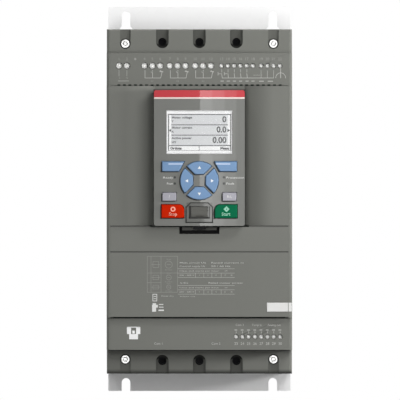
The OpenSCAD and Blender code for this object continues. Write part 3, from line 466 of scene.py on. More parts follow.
def screenPanel(name, colour):
    p = screen
    mat, w, shader = newMaterial(name)
    place = objectPlace(w)
    x, _, z = placeAxes(w)
    cloud = noise(w, place, p["cloudScale"], 2.0)
    rows = w.node("ShaderNodeTexWave", {"wave_type": "BANDS", "bands_direction": "Z"},
                  {"Vector": place, "Scale": p["rowScale"]})
    tone = mixColour(w, inBox(x, z, p["field"]), colour, p["fieldColour"])
    dark = mixColour(w, p["shade"], tone, black)
    lit = mixColour(w, mixed(cloud, rows, p["cloudShare"]), dark, tone)
    w.feed(shader, {
        "Base Color": lit,
        "Emission Color": lit,
        "Emission Strength": p["glow"],
        "Specular IOR Level": p["shine"],
        "Roughness": p["rough"],
    })
    return mat


# clear window with faint smears
window = {"smearScale": 50.0, "rough": 0.08, "glossSpread": 0.06, "alpha": 0.1, "shine": 0.15}


def clearWindow(name, colour):
    p = window
    mat, w, shader = newMaterial(name)
    smear = noise(w, objectPlace(w), p["smearScale"], 4.0)
    w.feed(shader, {
        "Base Color": colour,
        "Roughness": uneven(p["rough"], p["glossSpread"], smear),
        "Alpha": p["alpha"],
        "Specular IOR Level": p["shine"],
    })
    return mat


# lacquered board with faint tracks
board = {
    "trackScale": 55.0, "trackWidth": 0.03, "trackShift": 0.37, "trackLight": 1.6, "dark": 0.8,
    "cloudScale": 80.0, "rough": 0.4, "glossSpread": 0.2,
}


def boardGreen(name, colour):
    p = board
    mat, w, shader = newMaterial(name)
    place = objectPlace(w)
    tracks = w.node("ShaderNodeTexBrick", {"offset": p["trackShift"]}, {
        "Vector": place,
        "Scale": p["trackScale"],
        "Mortar Size": p["trackWidth"],
        "Color1": colour,
        "Color2": toned(colour, p["dark"]),
        "Mortar": toned(colour, p["trackLight"]),
    })
    cloud = noise(w, place, p["cloudScale"], 3.0)
    w.feed(shader, {"Base Color": tracks, "Roughness": uneven(p["rough"], p["glossSpread"], cloud)})
    return mat


# printing ink, a little worn
wornInk = {"cloudScale": 700.0, "dark": 0.9, "rough": 0.55, "glossSpread": 0.1}


def printInk(name, colour):
    p = wornInk
    mat, w, shader = newMaterial(name)
    cloud = noise(w, objectPlace(w), p["cloudScale"], 2.0)
    w.feed(shader, {
        "Base Color": toneMix(w, cloud, colour, p["dark"]),
        "Roughness": uneven(p["rough"], p["glossSpread"], cloud),
    })
    return mat


housingColour = srgb(117, 118, 113)
paints = {
    "zinc_sheet": zincSheet("zincSheet", srgb(250, 250, 250)),
    "housing_grey": mouldedPlastic("housingGrey", housingColour, rough=0.6),
    "housing_dark": mouldedPlastic("housingDark", srgb(106, 106, 103), rough=0.6),
    "keypad_silver": metallicPaint("keypadSilver", srgb(112, 113, 109)),
    "screw_steel": drawnMetal("screwSteel", srgb(206, 206, 202), rough=0.42, stretch=noLines),
    "tinned_metal": drawnMetal("tinnedMetal", srgb(205, 206, 208)),
    "copper": drawnMetal("barCopper", srgb(205, 140, 105), rough=0.3),
    "heat_sink_metal": drawnMetal("sinkAluminium", srgb(200, 202, 205), rough=0.4),
    "black_plastic": mouldedPlastic("blackPlastic", srgb(30, 30, 31), rough=0.45, tone=0.12),
    "board_green": boardGreen("boardGreen", srgb(20, 44, 32)),
    "tag_white": mouldedPlastic("tagWhite", srgb(223, 223, 221), rough=0.45, tone=0.02),
    "strip_red": stripPlastic("stripRed", srgb(188, 46, 56)),
    "screen": screenPanel("screenPanel", srgb(238, 238, 238)),
    "window": clearWindow("clearWindow", (0.95, 0.97, 0.97, 1.0)),
    "mat_rubber": mouldedPlastic("matRubber", srgb(70, 70, 70), rough=0.7),
    "lamp": mouldedPlastic("lampGuide", srgb(58, 62, 60), rough=0.2, grain=0.0, coat=0.5),
    "port_grey": mouldedPlastic("portGrey", srgb(92, 92, 88), rough=0.45),
    "key_blue": mouldedPlastic("keyBlue", srgb(120, 150, 186), grain=0.08, shine=0.1),
    "key_pale": mouldedPlastic("keyPale", srgb(167, 166, 174), grain=0.08, shine=0.1),
    "key_red": mouldedPlastic("keyRed", srgb(196, 36, 6), grain=0.08, shine=0.06),
    "key_green": mouldedPlastic("keyGreen", srgb(14, 101, 68), grain=0.08, shine=0.06),
}
inks = {
    "pale": printInk("inkPale", srgb(226, 226, 224)),
    "soft": printInk("inkSoft", srgb(186, 186, 182)),
    "faint": printInk("inkFaint", srgb(150, 150, 146)),
    "dark": printInk("inkDark", srgb(22, 23, 24)),
    "grey": printInk("inkGrey", srgb(84, 86, 88)),
    "white": printInk("inkWhite", srgb(248, 248, 248)),
    "blush": printInk("inkBlush", srgb(250, 170, 150)),
    "mint": printInk("inkMint", srgb(150, 208, 182)),
    # pale blue ink for the soft keys' painted highlight
    "sky": printInk("inkSky", srgb(198, 214, 238)),
    # dark inks for painted shade and shadow: grey in the seams and over the keypad, near black round the port
    # and keys and under the extension panel; the near black also rings the status lamps
    "seam": printInk("inkShadeGrey", srgb(78, 78, 75)),
    "gap": printInk("shadowAndRingBlack", srgb(30, 30, 28)),
    "fill": paints["housing_grey"],
}
plated = {"rough": 0.4, "stretch": noLines, "tone": 0.03, "metallic": 0.25}
# nodes with a finish of their own, some with painted shade
ownPaints = {
    # clamp screws near black: painted shade for the access holes over them
    "clamp_screws": drawnMetal("clampScrewShade", srgb(46, 46, 48), rough=0.5, stretch=noLines),
    "housing_screws": drawnMetal("screwHead", srgb(248, 248, 246), rough=0.3, stretch=noLines, tone=0.04),
    "relay_terminal_screws": drawnMetal("screwPlated", srgb(254, 254, 250), **plated),
    "signal_terminal_screws": drawnMetal("screwPlatedSmall", srgb(254, 254, 250), **plated),
    "front_housing": groovedPlastic("housingGrooved", housingColour, grooves),
    "latch_panel": recessPlastic("latchPanel", housingColour, recess),
}
for row in frame["record"]["subparts"]:
    node = frame["nodes"][row["node"]]
    node.data.materials.clear()
    node.data.materials.append(ownPaints.get(row["node"], paints[row["material_slot"]]))
print("materials on all nodes")


# small round edges on moulded pieces: width in mm
softEdges = {
    "soft_key_left": 0.8, "soft_key_right": 0.8, "arrow_key_up": 0.7, "arrow_key_down": 0.7,
    "arrow_key_left": 0.7, "arrow_key_right": 0.7, "info_key": 0.6, "mode_key": 0.6, "stop_key": 0.8,
    "start_key": 0.8, "data_port_flap": 0.2, "accent_strip": 0.2, "marker_tag": 0.3, "terminal_panel": 0.15,
    "keypad_cover": 0.15, "latch_panel": 0.15, "lower_cover": 0.15, "extension_panel": 0.15,
    "housing_screws": 0.25, "relay_terminal_screws": 0.15, "signal_terminal_screws": 0.15,
}
keyNames = [name for name in softEdges if "_key" in name]
# edges sharper than an angle in degrees are rounded, after faces under a small angle are merged
edgeRound = {"segments": 3, "from": 40.0, "weight": 90, "merge": 0.02, "keyMerge": 3.0}
mergeGap = 0.001    # mm


def camel(name):
    first, *rest = name.split("_")
    return first + "".join(word.capitalize() for word in rest)


# a merged copy of a node with round edges, which stands for it
def softCopy(name, width, p):
    node = frame["nodes"][name]
    piece = copyNode(name)
    piece.name = piece.data.name = camel(name)
    editAll()
    bpy.ops.mesh.remove_doubles(threshold=mergeGap * mm)
    merge = p["keyMerge"] if name in keyNames else p["merge"]
    bpy.ops.mesh.dissolve_limited(angle_limit=math.radians(merge))
    leaveEdit()
    bpy.ops.object.shade_smooth()
    bevel = piece.modifiers.new("bevel", "BEVEL")
    bevel.width = width * mm
    bevel.segments = p["segments"]
    bevel.limit_method = "ANGLE"
    bevel.angle_limit = math.radians(p["from"])
    bevel.use_clamp_overlap = False
    bpy.ops.object.modifier_apply(modifier="bevel")
    weigh = piece.modifiers.new("weigh", "WEIGHTED_NORMAL")
    weigh.weight = p["weight"]
    bpy.ops.object.modifier_apply(modifier="weigh")
    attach(piece, body_of(node)[0])
    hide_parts(name)


# prints: thin raised ink made from planes and letters

inkThick = 0.03     # mm
capital = 0.73      # height of a capital, as a share of the letters' size
cornerShare = 0.8   # how much longer than its points a bar is, as a share of its width
flat = math.radians(90)


# bars in one mesh: (x, z, width, height, turn in degrees)
def inkBars(bars, depth):
    deselectAll()
    bpy.ops.mesh.primitive_plane_add(size=1, location=(0, 0, 0))
    piece = bpy.context.object
    editAll()
    bpy.ops.mesh.delete(type="VERT")
    for x, z, w, h, turn in bars:
        bpy.ops.mesh.select_all(action="DESELECT")
        bpy.ops.mesh.primitive_plane_add(size=1, location=(0, 0, 0), rotation=(flat, 0, 0))
        bpy.ops.transform.resize(value=(w * mm, 1, h * mm), center_override=(0, 0, 0))
        if turn:
            bpy.ops.transform.rotate(value=math.radians(turn), orient_axis="Y", center_override=(0, 0, 0))
        bpy.ops.transform.translate(value=(x * mm, -depth * mm, z * mm))
    leaveEdit()
    return piece


# a bar from point to point, a little longer so that corners close
def strokeBar(x0, z0, x1, z1, w):
    length = math.hypot(x1 - x0, z1 - z0) + w * cornerShare
    return ((x0 + x1) / 2, (z0 + z1) / 2, length, w, math.degrees(math.atan2(z1 - z0, x1 - x0)))


def boxStrokes(x0, x1, z0, z1, w):
    ends = ((x0, z0, x1, z0), (x0, z1, x1, z1), (x0, z0, x0, z1), (x1, z0, x1, z1))
    return [strokeBar(*end, w) for end in ends]


# a ring or disc in the ink's plane
def inkDisc(x, z, r, depth, hole=0.0, sides=24, turn=0.0):
    deselectAll()
    bpy.ops.mesh.primitive_circle_add(vertices=sides, radius=r * mm, fill_type="NGON",
                                      location=(x * mm, -depth * mm, z * mm),
                                      rotation=(flat, math.radians(turn), 0))
    piece = bpy.context.object
    if hole:
        editAll()
        bpy.ops.mesh.inset(thickness=(r - hole) * mm, depth=0)
        bpy.ops.mesh.delete(type="FACE")
        leaveEdit()
    pick(piece)
    applyPlace()
    return piece


# letters as a flat mesh: size is the height of a capital and fit the width of the line, in mm
def inkText(words, x, z, size, depth, align="CENTER", lean=0.0, fit=None, bold=0.0):
    deselectAll()
    bpy.ops.object.text_add(location=(0, 0, 0), rotation=(0, 0, 0))
    piece = bpy.context.object
    piece.data.body = words
    piece.data.size = size / capital * mm
    piece.data.align_x = align
    piece.data.align_y = "CENTER"
    piece.data.resolution_u = 3
    piece.data.offset = bold * mm
    bpy.ops.object.convert(target="MESH")
    piece = bpy.context.object
    if fit:
        piece.scale = (fit * mm / piece.dimensions.x, 1, 1)
    piece.rotation_euler = (flat, 0, lean)
    piece.location = (x * mm, -depth * mm, z * mm)
    applyPlace()
    return piece


# joins flat ink, names it, gives it its thickness towards the front and puts it on a body
def finishInk(name, pieces, ink, body):
    pick(*pieces)
    if len(pieces) > 1:
        bpy.ops.object.join()
    piece = bpy.context.object
    piece.name = piece.data.name = name
    editAll()
    bpy.ops.mesh.remove_doubles(threshold=mergeGap * mm)
    leaveEdit()
    solid = piece.modifiers.new("thick", "SOLIDIFY")
    solid.thickness = inkThick * mm
    solid.offset = 1.0
    bpy.ops.object.modifier_apply(modifier="thick")
    piece.data.materials.clear()
    piece.data.materials.append(inks[ink])
    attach(piece, body)


# control terminal print, in mm
terminalPrint = {
    # supply pair and earth
    "supply": (-65.0, -58.65), "supplyLine": (-65.6, -57.2), "letters": (("L", -64.4), ("N", -58.6)),
    "letterSize": 1.6, "earthX": -51.9, "earthDot": 1.0,
    # relays
    "relayStarts": (-44.4, -23.9, -3.4), "relayPitch": 6.35, "relayShifts": (0.4, 0.2, 0.4),
    "relayWordZ": -2.6, "relayWordSize": 1.3,
    # inputs and outputs
    "inputStart": 17.9, "outputStart": 49.9, "signalPitch": 5.08, "signalShift": 0.6, "coilShift": -2.0,
    "dashStart": 44.0, "dashPitch": 1.5, "arch": (4.0, 4.2), "archStep": 20,
    # numbers over the screws, and the rail that the signs stand on
    "numberZ": 113.2, "numberSize": 2.3, "railZ": 97.9, "line": 0.42, "underZ": -2.4, "underShare": 0.8,
    # strokes from each sign's place on the rail: (x, z, x, z, share of the line's width)
    "signs": {
        "common": ((0, 0, 0, 6.3, 1), (0, 0, 12.7, 0, 1)),
        "break": ((0, 0, 0, 4.2, 1), (0, 4.2, -1.3, 5.0, 1), (0, 6.3, 0, 5.4, 1)),
        "make": ((0, 0, 1.0, 4.6, 1), (-0.6, 5.4, 1.7, 5.0, 1.8), (0, 6.3, 0, 5.4, 1)),
        "supply": ((0, 6.3, 0, 1.6, 0.7),),
        "switch": ((0, 0, -0.5, 3.6, 1), (-0.4, 4.6, -0.4, 7.1, 0.8)),
        "coil": ((-0.8, 3.4, 1.2, 3.4, 1), (-0.8, 2.2, -0.8, 4.6, 1)),
        "output": ((0, 0, 0, 6.3, 0.7),),
        "shortOutput": ((0, 0, 0, 5.9, 0.7),),
        "dash": ((0, 2.3, 0.7, 2.3, 0.8),),
        "earth": ((0, 0, 0, 7.9, 1.2),),
    },
    # word bars under the rail: z, width, height
    "labels": {(18.4, 23.4, 28.4, 33.4, 38.6, 43.4): (-2.5, 2.6, 0.55), (50.2,): (-2.6, 3.6, 0.6),
               (57.4,): (-2.6, 4.2, 0.6)},
}


def makeTerminalPrint(p):
    depth = faces["terminal"]
    rail, w, pitch = p["railZ"], p["line"], p["signalPitch"]
    inputs = [p["inputStart"] + i * pitch for i in range(6)]
    outputs = [p["outputStart"] + i * pitch for i in range(4)]
    relays = [[start + i * p["relayPitch"] for i in range(3)] for start in p["relayStarts"]]
    spots = list(zip((1, 2), p["supply"]))
    spots += zip(range(4, 13), [x for relay in relays for x in relay])
    spots += zip(range(13, 23), inputs + outputs)
    texts = [(str(number), x, p["numberZ"], p["numberSize"]) for number, x in spots]
    texts += [(letter, x, rail, p["letterSize"]) for letter, x in p["letters"]]
    texts += [("K%d" % (k + 1), relay[1], rail + p["relayWordZ"], p["relayWordSize"])
              for k, relay in enumerate(relays)]
    numbers = [inkText(*text, depth) for text in texts]
    numbers.append(inkDisc(p["earthX"], p["numberZ"], p["earthDot"], depth))
    signs = [("supply", x) for x in p["supply"]]
    contact = ("common", "break", "make")       # change-over contact
    for relay in relays:
        signs += [(sign, x + shift) for sign, x, shift in zip(contact, relay, p["relayShifts"])]
    signs += [("switch", x + p["signalShift"]) for x in inputs[:5]]
    signs += [("coil", x + p["coilShift"]) for x in inputs[:2]]
    signs += zip(("output", "shortOutput", "output"), outputs)
    signs += [("dash", p["dashStart"] + i * p["dashPitch"]) for i in range(5)]
    earth = outputs[3] + p["signalShift"]
    signs.append(("earth", earth))
    bars = [strokeBar(x + a, rail + b, x + c, rail + d, w * share)
            for sign, x in signs for a, b, c, d, share in p["signs"][sign]]
    start, end = p["supplyLine"]
    under = rail + p["underZ"]
    bars.append(strokeBar(start, under, end, under, w * p["underShare"]))
    bars.append(strokeBar(inputs[0] + p["signalShift"], rail, outputs[2], rail, w))
    wide, high = p["arch"]              # the cable screen's loop over the earth line
    turns = [math.radians(t) for t in range(0, 181, p["archStep"])]
    arch = [(earth + wide * math.cos(t), rail + high * math.sin(t)) for t in turns]
    bars += [strokeBar(*a, *b, w) for a, b in zip(arch, arch[1:])]
    bars += [(x, rail + z, width, height, 0) for row, (z, width, height) in p["labels"].items() for x in row]
    finishInk("terminalPrint", [inkBars(bars, depth)], "soft", "starter")
    finishInk("terminalNumbers", numbers, "faint", "starter")


makeTerminalPrint(terminalPrint)
print("terminal print done")


# lower cover print: connection pictograms and a plain rating table, in mm
ratingPrint = {
    "frame": (-42.1, -17.6, -75.4, -46.3), "edge": 3.0, "split": -31.0, "rows": (-59.8, -67.6), "line": 0.3,
    # a cable end and its screw, three sizes: height, radius, cable and torque
    "marks": ((-53.0, 3.0, "16 mm", "8 Nm"), (-63.4, 2.2, "12 mm", "6 Nm"), (-71.2, 1.9, "8 mm", "4 Nm")),
    "cable": (4.6, 9.2), "cableShare": 0.8, "cableLine": (3.6, 10.2), "screwX": -24.8,
    "slotShare": 0.5, "sizeAbove": 1.2, "torqueBelow": 1.3, "torqueFit": 5.6, "markSize": 1.0,
    # table: two blocks of a heading row and a row of cells
    "left": -16.3, "right": 28.4, "tableEdge": -17.3, "tableLine": 0.24,
    "tableTops": (-56.4, -69.9), "rowHeight": 3.5, "cells": (-0.6, 6.2, 12.7, 20.2),
    "cellEdge": -2.6, "cellShift": 0.6,
    "values": (("7", "11", "15", "19"), ("9", "13", "17", "21")),
    "lastValue": "30", "lastShift": -2.4, "unitShift": -6.8, "cellSize": 1.1,
    "heading": ("Class and starts per hour", 32.0),
    "range": ("200 - 600 V", 12.0),
    # lines of words: x, z and width
    "words": (
        ("Main circuit Ue", -16.1, -51.6, 21.2), ("Rated current Ie", 9.4, -51.6, 26.4),
        ("Control supply Us", -16.1, -54.4, 20.6), ("50 / 60 Hz", 9.4, -54.4, 15.6),
        ("At 40 C", -15.8, -67.9, 6.8), ("Rated motor power", 7.1, -67.9, 28.2),
    ),
    "wordSize": 1.25, "wordBold": 0.03,
    "notes": (("Indoor use", -15.7, -78.7, 12.0), ("Keep dry", -30.8, -78.4, 10.0)),
    "noteSize": 0.95,
    # a booklet, and a small terminal block with its three wires: x, z, width, height
    "booklet": (-37.6, -34.4, -82.4, -77.0), "bookletLine": 0.5,
    "solids": (
        (-36.0, -78.8, 1.8, 0.5), (-36.0, -80.6, 1.8, 0.5), (-36.6, -89.4, 3.2, 3.4),
        (-35.9, -86.6, 4.6, 2.2), (-36.4, -84.9, 2.8, 1.4), (-30.9, -85.2, 3.6, 0.6),
        (-30.9, -87.4, 3.6, 0.6), (-30.9, -89.9, 4.4, 1.1),
    ),
}


def makeRatingPicture(p, depth):
    x0, x1, z0, z1 = p["frame"]
    w, split, edge = p["line"], p["split"], x0 + p["edge"]
    upper, lower = p["rows"]
    bars = boxStrokes(x0, x1, z0, z1, w)
    bars += [strokeBar(x0, upper, x1, upper, w), strokeBar(x0, lower, split, lower, w)]
    bars += [strokeBar(split, z0, split, z1, w), strokeBar(edge, z0, edge, z1, w)]
    pieces = []
    a, b = (x0 + x for x in p["cable"])
    start, end = (x0 + x for x in p["cableLine"])
    x, size = p["screwX"], p["markSize"]
    for z, r, cable, torque in p["marks"]:
        high, slot = r * p["cableShare"], r * p["slotShare"]
        bars += boxStrokes(a, b, z - high, z + high, w)
        bars += [strokeBar(start, z, end, z, w), strokeBar(x - slot, z, x + slot, z, w)]
        pieces.append(inkDisc(x, z, r, depth, hole=r - w, sides=28))
        pieces.append(inkText(cable, x, z + r + p["sizeAbove"], size, depth))
        pieces.append(inkText(torque, x, z - r - p["torqueBelow"], size, depth, fit=p["torqueFit"]))
    finishInk("ratingPicture", [inkBars(bars, depth)] + pieces, "faint", "starter")


def makeRatingTable(p, depth):
    left, right, size, row = p["left"], p["right"], p["cellSize"], p["rowHeight"]
    edge, w = p["tableEdge"], p["tableLine"]
    pieces, bars = [], []
    for lines, height, bold in ((p["words"], p["wordSize"], p["wordBold"]), (p["notes"], p["noteSize"], 0.0)):
        for words, x, z, fit in lines:
            pieces.append(inkText(words, x, z, height, depth, align="LEFT", fit=fit, bold=bold))
    for top, values in zip(p["tableTops"], p["values"]):
        bars += [strokeBar(edge, top - k * row, right, top - k * row, w) for k in range(3)]
        head, cell = top - row / 2, top - 1.5 * row
        for (words, fit), z in ((p["heading"], head), (p["range"], cell)):
            pieces.append(inkText(words, left, z, size, depth, align="LEFT", fit=fit))
        pieces.append(inkText("kW", right + p["unitShift"], head, size, depth))
        for x, value in zip(p["cells"], values):
            wall = x + p["cellEdge"]
            bars.append(strokeBar(wall, top - row, wall, top - 2 * row, w))
            pieces.append(inkText(value, x + p["cellShift"], cell, size, depth))
        pieces.append(inkText(p["lastValue"], right + p["lastShift"], cell, size, depth))
    finishInk("ratingTable", [inkBars(bars, depth)] + pieces, "soft", "starter")


def makeRatingMarks(p, depth):
    bars = boxStrokes(*p["booklet"], p["bookletLine"])
    bars += [(*solid, 0) for solid in p["solids"]]
    finishInk("ratingMarks", [inkBars(bars, depth)], "pale", "starter")


makeRatingPicture(ratingPrint, faces["lower"])
makeRatingTable(ratingPrint, faces["lower"])
makeRatingMarks(ratingPrint, faces["lower"])
print("rating print done")


# extension terminal print, in mm
extensionPrint = {
    "start": 29.7, "pitch": 5.08, "numbers": range(23, 31), "numberZ": -117.0, "numberSize": 2.2,
    "labelZ": -105.9, "labelShift": -0.2, "label": (2.2, 0.7), "tick": (-1.2, -2.6, 0.4),
    # words: x, z, height
    "words": (
        ("Com 3", 32.6, -101.9, 1.75), ("Temp in", 46.4, -101.9, 1.75), ("Analog out", 60.4, -101.9, 1.75),
        ("Com 1", -33.0, -117.0, 1.9), ("Com 2", 13.4, -117.0, 1.9),
    ),
    # plug pictogram: x, z, width, height, and the line over it
    "plug": (
        (-56.9, -106.4, 3.4, 5.6), (-49.5, -106.4, 3.4, 5.6),
        (-53.2, -111.3, 7.2, 4.2), (-53.2, -107.6, 2.0, 2.4),
    ),
    "plugLine": (-58.0, -103.6, -48.4, -103.6, 0.6),
}


def makeExtensionPrint(p):
    depth, z = faces["extension"], p["labelZ"]
    upper, lower, w = p["tick"]
    pieces, bars = [], []
    for i, number in enumerate(p["numbers"]):
        x = p["start"] + i * p["pitch"]
        pieces.append(inkText(str(number), x, p["numberZ"], p["numberSize"], depth))
        bars += [(x + p["labelShift"], z, *p["label"], 0), strokeBar(x, z + upper, x, z + lower, w)]
    pieces += [inkText(*word, depth) for word in p["words"]]
    finishInk("extensionPrint", [inkBars(bars, depth)] + pieces, "soft", "starter")
    bars = [(*solid, 0) for solid in p["plug"]] + [strokeBar(*p["plugLine"])]
    finishInk("socketMark", [inkBars(bars, depth)], "white", "starter")


makeExtensionPrint(extensionPrint)
print("extension print done")


# display ink, in mm
displayInk = {
    "proud": 0.02, "frame": (-24.9, 25.3, 39.2, 68.3), "rows": (59.9, 51.6),
    "rowEnds": (-22.5, 22.8), "rowShare": 0.85, "barZ": 43.1, "barSplit": -0.2, "line": 0.8,
    "thin": 0.5, "footShare": 0.6, "bold": 0.22, "valueX": 21.8, "valueSize": 4.9,
    "values": (("0", 64.1, 3.3), ("0.0", 55.9, 8.0), ("0.00", 47.4, 11.2)),
    "menuZ": 40.9, "menuSize": 2.0,
    "menu": (("Options", -23.5, "LEFT", 9.4), ("Menu", 24.1, "RIGHT", 7.2)),
    "arrowX": 23.4, "arrowZ": 55.4, "arrowSize": 1.5, "labelX": -22.4, "labelSize": 1.75,
    "labelFit": 16.6, "labelBold": 0.12,
    "labels": (
        ("Motor voltage", "V", 65.8, 62.8), ("Motor current", "A", 57.6, 54.3),
        ("Active power", "kW", 49.2, 45.8),
    ),
}


def makeDisplayInk(p):
    depth = faces["screen"] + p["proud"]
    x0, x1, z0, z1 = p["frame"]
    a, b = p["rowEnds"]
    bar, split, w, thin, bold = p["barZ"], p["barSplit"], p["line"], p["thin"], p["bold"]
    bars = [strokeBar(x0, z1, x1, z1, w), strokeBar(x0, bar, x1, bar, w)]
    bars += [strokeBar(x0, z0, x0, z1, w), strokeBar(x1, z0, x1, z1, w)]
    bars += [strokeBar(split, z0, split, bar, thin), strokeBar(x0, z0, x1, z0, thin * p["footShare"])]
    bars += [strokeBar(a, z, b, z, w * p["rowShare"]) for z in p["rows"]]
    pieces = []
    x, size = p["valueX"], p["valueSize"]
    for value, z, fit in p["values"]:
        pieces.append(inkText(value, x, z, size, depth, align="RIGHT", fit=fit, bold=bold))
    for word, x, align, fit in p["menu"]:
        pieces.append(inkText(word, x, p["menuZ"], p["menuSize"], depth, align=align, fit=fit, bold=bold))
    for side in (-1, 1):
        x, z = p["arrowX"] * side, p["arrowZ"]
        pieces.append(inkDisc(x, z, p["arrowSize"], depth, sides=3, turn=90 * side))
    finishInk("displayInk", [inkBars(bars, depth)] + pieces, "dark", "keypad")
    pieces = []
    for label, unit, labelZ, unitZ in p["labels"]:
        for words, z, fit in ((label, labelZ, p["labelFit"]), (unit, unitZ, None)):
            pieces.append(inkText(words, p["labelX"], z, p["labelSize"], depth,
                                  align="LEFT", fit=fit, bold=p["labelBold"]))
    finishInk("displayLabels", pieces, "grey", "keypad")


makeDisplayInk(displayInk)
print("display ink done")


# words beside the status lamps and dark rings round them, in mm
keypadPrint = {
    "words": (
        ("Ready", -21.2, 17.2, "RIGHT", 8.0), ("Run", -21.2, 12.4, "RIGHT", 4.8),
        ("Protection", 21.6, 17.2, "LEFT", 14.2), ("Fault", 21.6, 12.4, "LEFT", 6.2),
    ),
    "size": 1.7, "proud": 0.03, "lampRadius": 0.6, "ring": 0.95, "ringHole": 0.55, "ringProud": 0.01,
}


def makeKeypadPrint(p):
    pieces = []
    for words, x, z, align, fit in p["words"]:
        lean = bowLean(x + (-fit / 2 if align == "RIGHT" else fit / 2))
        depth = bowedDepth(x) + p["proud"]
        pieces.append(inkText(words, x, z, p["size"], depth, align=align, lean=lean, fit=fit))
    finishInk("keypadPrint", pieces, "pale", "keypad")
    low, high = inMm(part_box("status_lamps"))
    r = p["lampRadius"]
    rings = []
    for x in (low[0] + r, high[0] - r):
        for z in (low[2] + r, high[2] - r):
            depth = bowedDepth(x) + p["ringProud"]
            rings.append(inkDisc(x, z, p["ring"], depth, hole=p["ringHole"], sides=20))
    finishInk("lampRings", rings, "gap", "keypad")


# key legends, in mm
legends = {
    "proud": 0.05, "markProud": 0.01,
    # four-way ring: a small triangle on each key, with its turn
    "arrows": (
        ("up", 0, 25.1, 0), ("down", 0, 4.3, 180), ("left", -9.9, 14.7, -90), ("right", 10.1, 14.7, 90),
    ),
    "arrowSize": 1.5,
    # run keys: a ring, and a square on its corner, by side, x, radius, hole, corners, word's x and ink
    "run": {
        "stop": (-1, -21.3, 2.05, 1.0, 28, -21.3, "blush"),
        "start": (1, 21.9, 2.4, 1.1, 4, 21.4, "mint"),
    },
    "runX": 21.4, "runMarkZ": -8.2, "runWordZ": -12.3, "runSize": 2.6, "runBold": 0.1,
    # soft keys: a pale bar painted as a highlight along the upper edge, towards the middle
    "dashX": 19.2, "dashZ": 28.3, "dash": (11.6, 1.0),
    # side keys: sign, side and height
    "signs": {"info": ("?", -1, 2.6), "mode": ("R/L", 1, 2.2)},
    "signX": 24.3, "signZ": 1.8, "signBow": 24.4,
}


def makeLegends(p):
    out = faces["keyProud"]
    for name, x, z, turn in p["arrows"]:
        depth = bowedDepth(x, out) + p["markProud"]
        mark = inkDisc(x, z, p["arrowSize"], depth, sides=3, turn=turn)
        finishInk("arrowMark_" + name, [mark], "white", "arrow_key_%s_body" % name)
    depth = bowedDepth(p["runX"], out) + p["proud"]
    for name, (side, x, r, hole, sides, wordX, ink) in p["run"].items():
        lean = bowLean(side * p["runX"])
        mark = inkDisc(x, p["runMarkZ"], r, depth, hole=hole, sides=sides)
        z, size = p["runWordZ"], p["runSize"]
        word = inkText(name.capitalize(), wordX, z, size, depth, lean=lean, bold=p["runBold"])
        finishInk(name + "Legend", [mark, word], ink, name + "_key_body")
    # painted highlight: a pale bar on each soft key's upper edge
    for side, name in ((-1, "left"), (1, "right")):
        x = p["dashX"] * side
        dash = inkBars([(0, 0, *p["dash"], 0)], 0)
        dash.rotation_euler = (0, 0, bowLean(x))
        dash.location = (x * mm, -(bowedDepth(x, out) + p["markProud"]) * mm, p["dashZ"] * mm)
        applyPlace()
        finishInk("softHighlight_" + name, [dash], "sky", "soft_key_%s_body" % name)
    depth = bowedDepth(p["signBow"], out) + p["proud"]
    for name, (sign, side, size) in p["signs"].items():
        lean = bowLean(side * p["signBow"])
        word = inkText(sign, side * p["signX"], p["signZ"], size, depth, lean=lean)
        finishInk(name + "Legend", [word], "pale", name + "_key_body")


makeKeypadPrint(keypadPrint)
makeLegends(legends)
print("keypad prints done")


# dark ink as painted shadow, in mm: round the data port's frame and flap, over the keypad and under the
# extension panel;
# the covers' seams filled with darker grey as painted shade, and the seams beside the panels filled with
# housing grey
shadowsAndFills = {
    "portWidth": 20.6, "portHeight": 15.1, "portFoot": 3.2, "portCut": 3.5, "portProud": 0.8,
    "off": 0.3, "sunk": 0.01, "heavy": 1.3, "light": 0.9, "flapLeft": 1.69, "flapRight": 0.54,
    "keypadReach": 1.2, "keypadHeight": 1.0, "shoulderWidth": 147.0, "shoulderHeight": 0.9,
    "seamHeight": 1.2, "seamSink": 0.3,
    # the cover over each seam, the cover under it, and where the seam starts from the middle
    "seams": (("keypad_cover", "latch_panel", 40.0), ("latch_panel", "lower_cover", 0.0)),
    "sideWidth": 0.4, "sideReach": 0.15, "sideSink": 0.06,
    "panels": ("terminal_panel", "keypad_cover", "latch_panel", "lower_cover", "extension_panel"),
}


# painted shadow: dark ink round the data port's frame, heavier on the left and below, and beside and under
# the flap
def makePortGaps(p):
    low, _ = inMm(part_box("keypad_bezel"))
    heavy, light, off, cut = p["heavy"], p["light"], p["off"], p["portCut"]
    half = p["portWidth"] / 2 + off
    z0 = low[2] + p["portFoot"] - off
    z1 = z0 + p["portHeight"] + 2 * off
    bars = [strokeBar(-half, z0, half, z0, heavy), strokeBar(-half, z0, -half, z1 - cut, heavy)]
    bars += [strokeBar(half, z0, half, z1 - cut, light), strokeBar(cut - half, z1, half - cut, z1, light)]
    bars += [strokeBar(side * half, z1 - cut, side * (half - cut), z1, light) for side in (-1, 1)]
    outline = inkBars(bars, faces["keypad"] - p["sunk"])
    low, high = inMm(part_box("data_port_flap"))
    left, x0, x1, z0, z1 = low[0], low[0] - off, high[0] + off, low[2] - off, high[2]
    bars = [strokeBar(x0, z0, x1, z0, heavy), strokeBar(left, z0, left, z1, p["flapLeft"])]
    bars += [strokeBar(x1, z0, x1, z1, p["flapRight"])]
    flapShadow = inkBars(bars, faces["keypad"] + p["portProud"] - p["sunk"])
    finishInk("portGaps", [outline, flapShadow], "gap", "keypad")


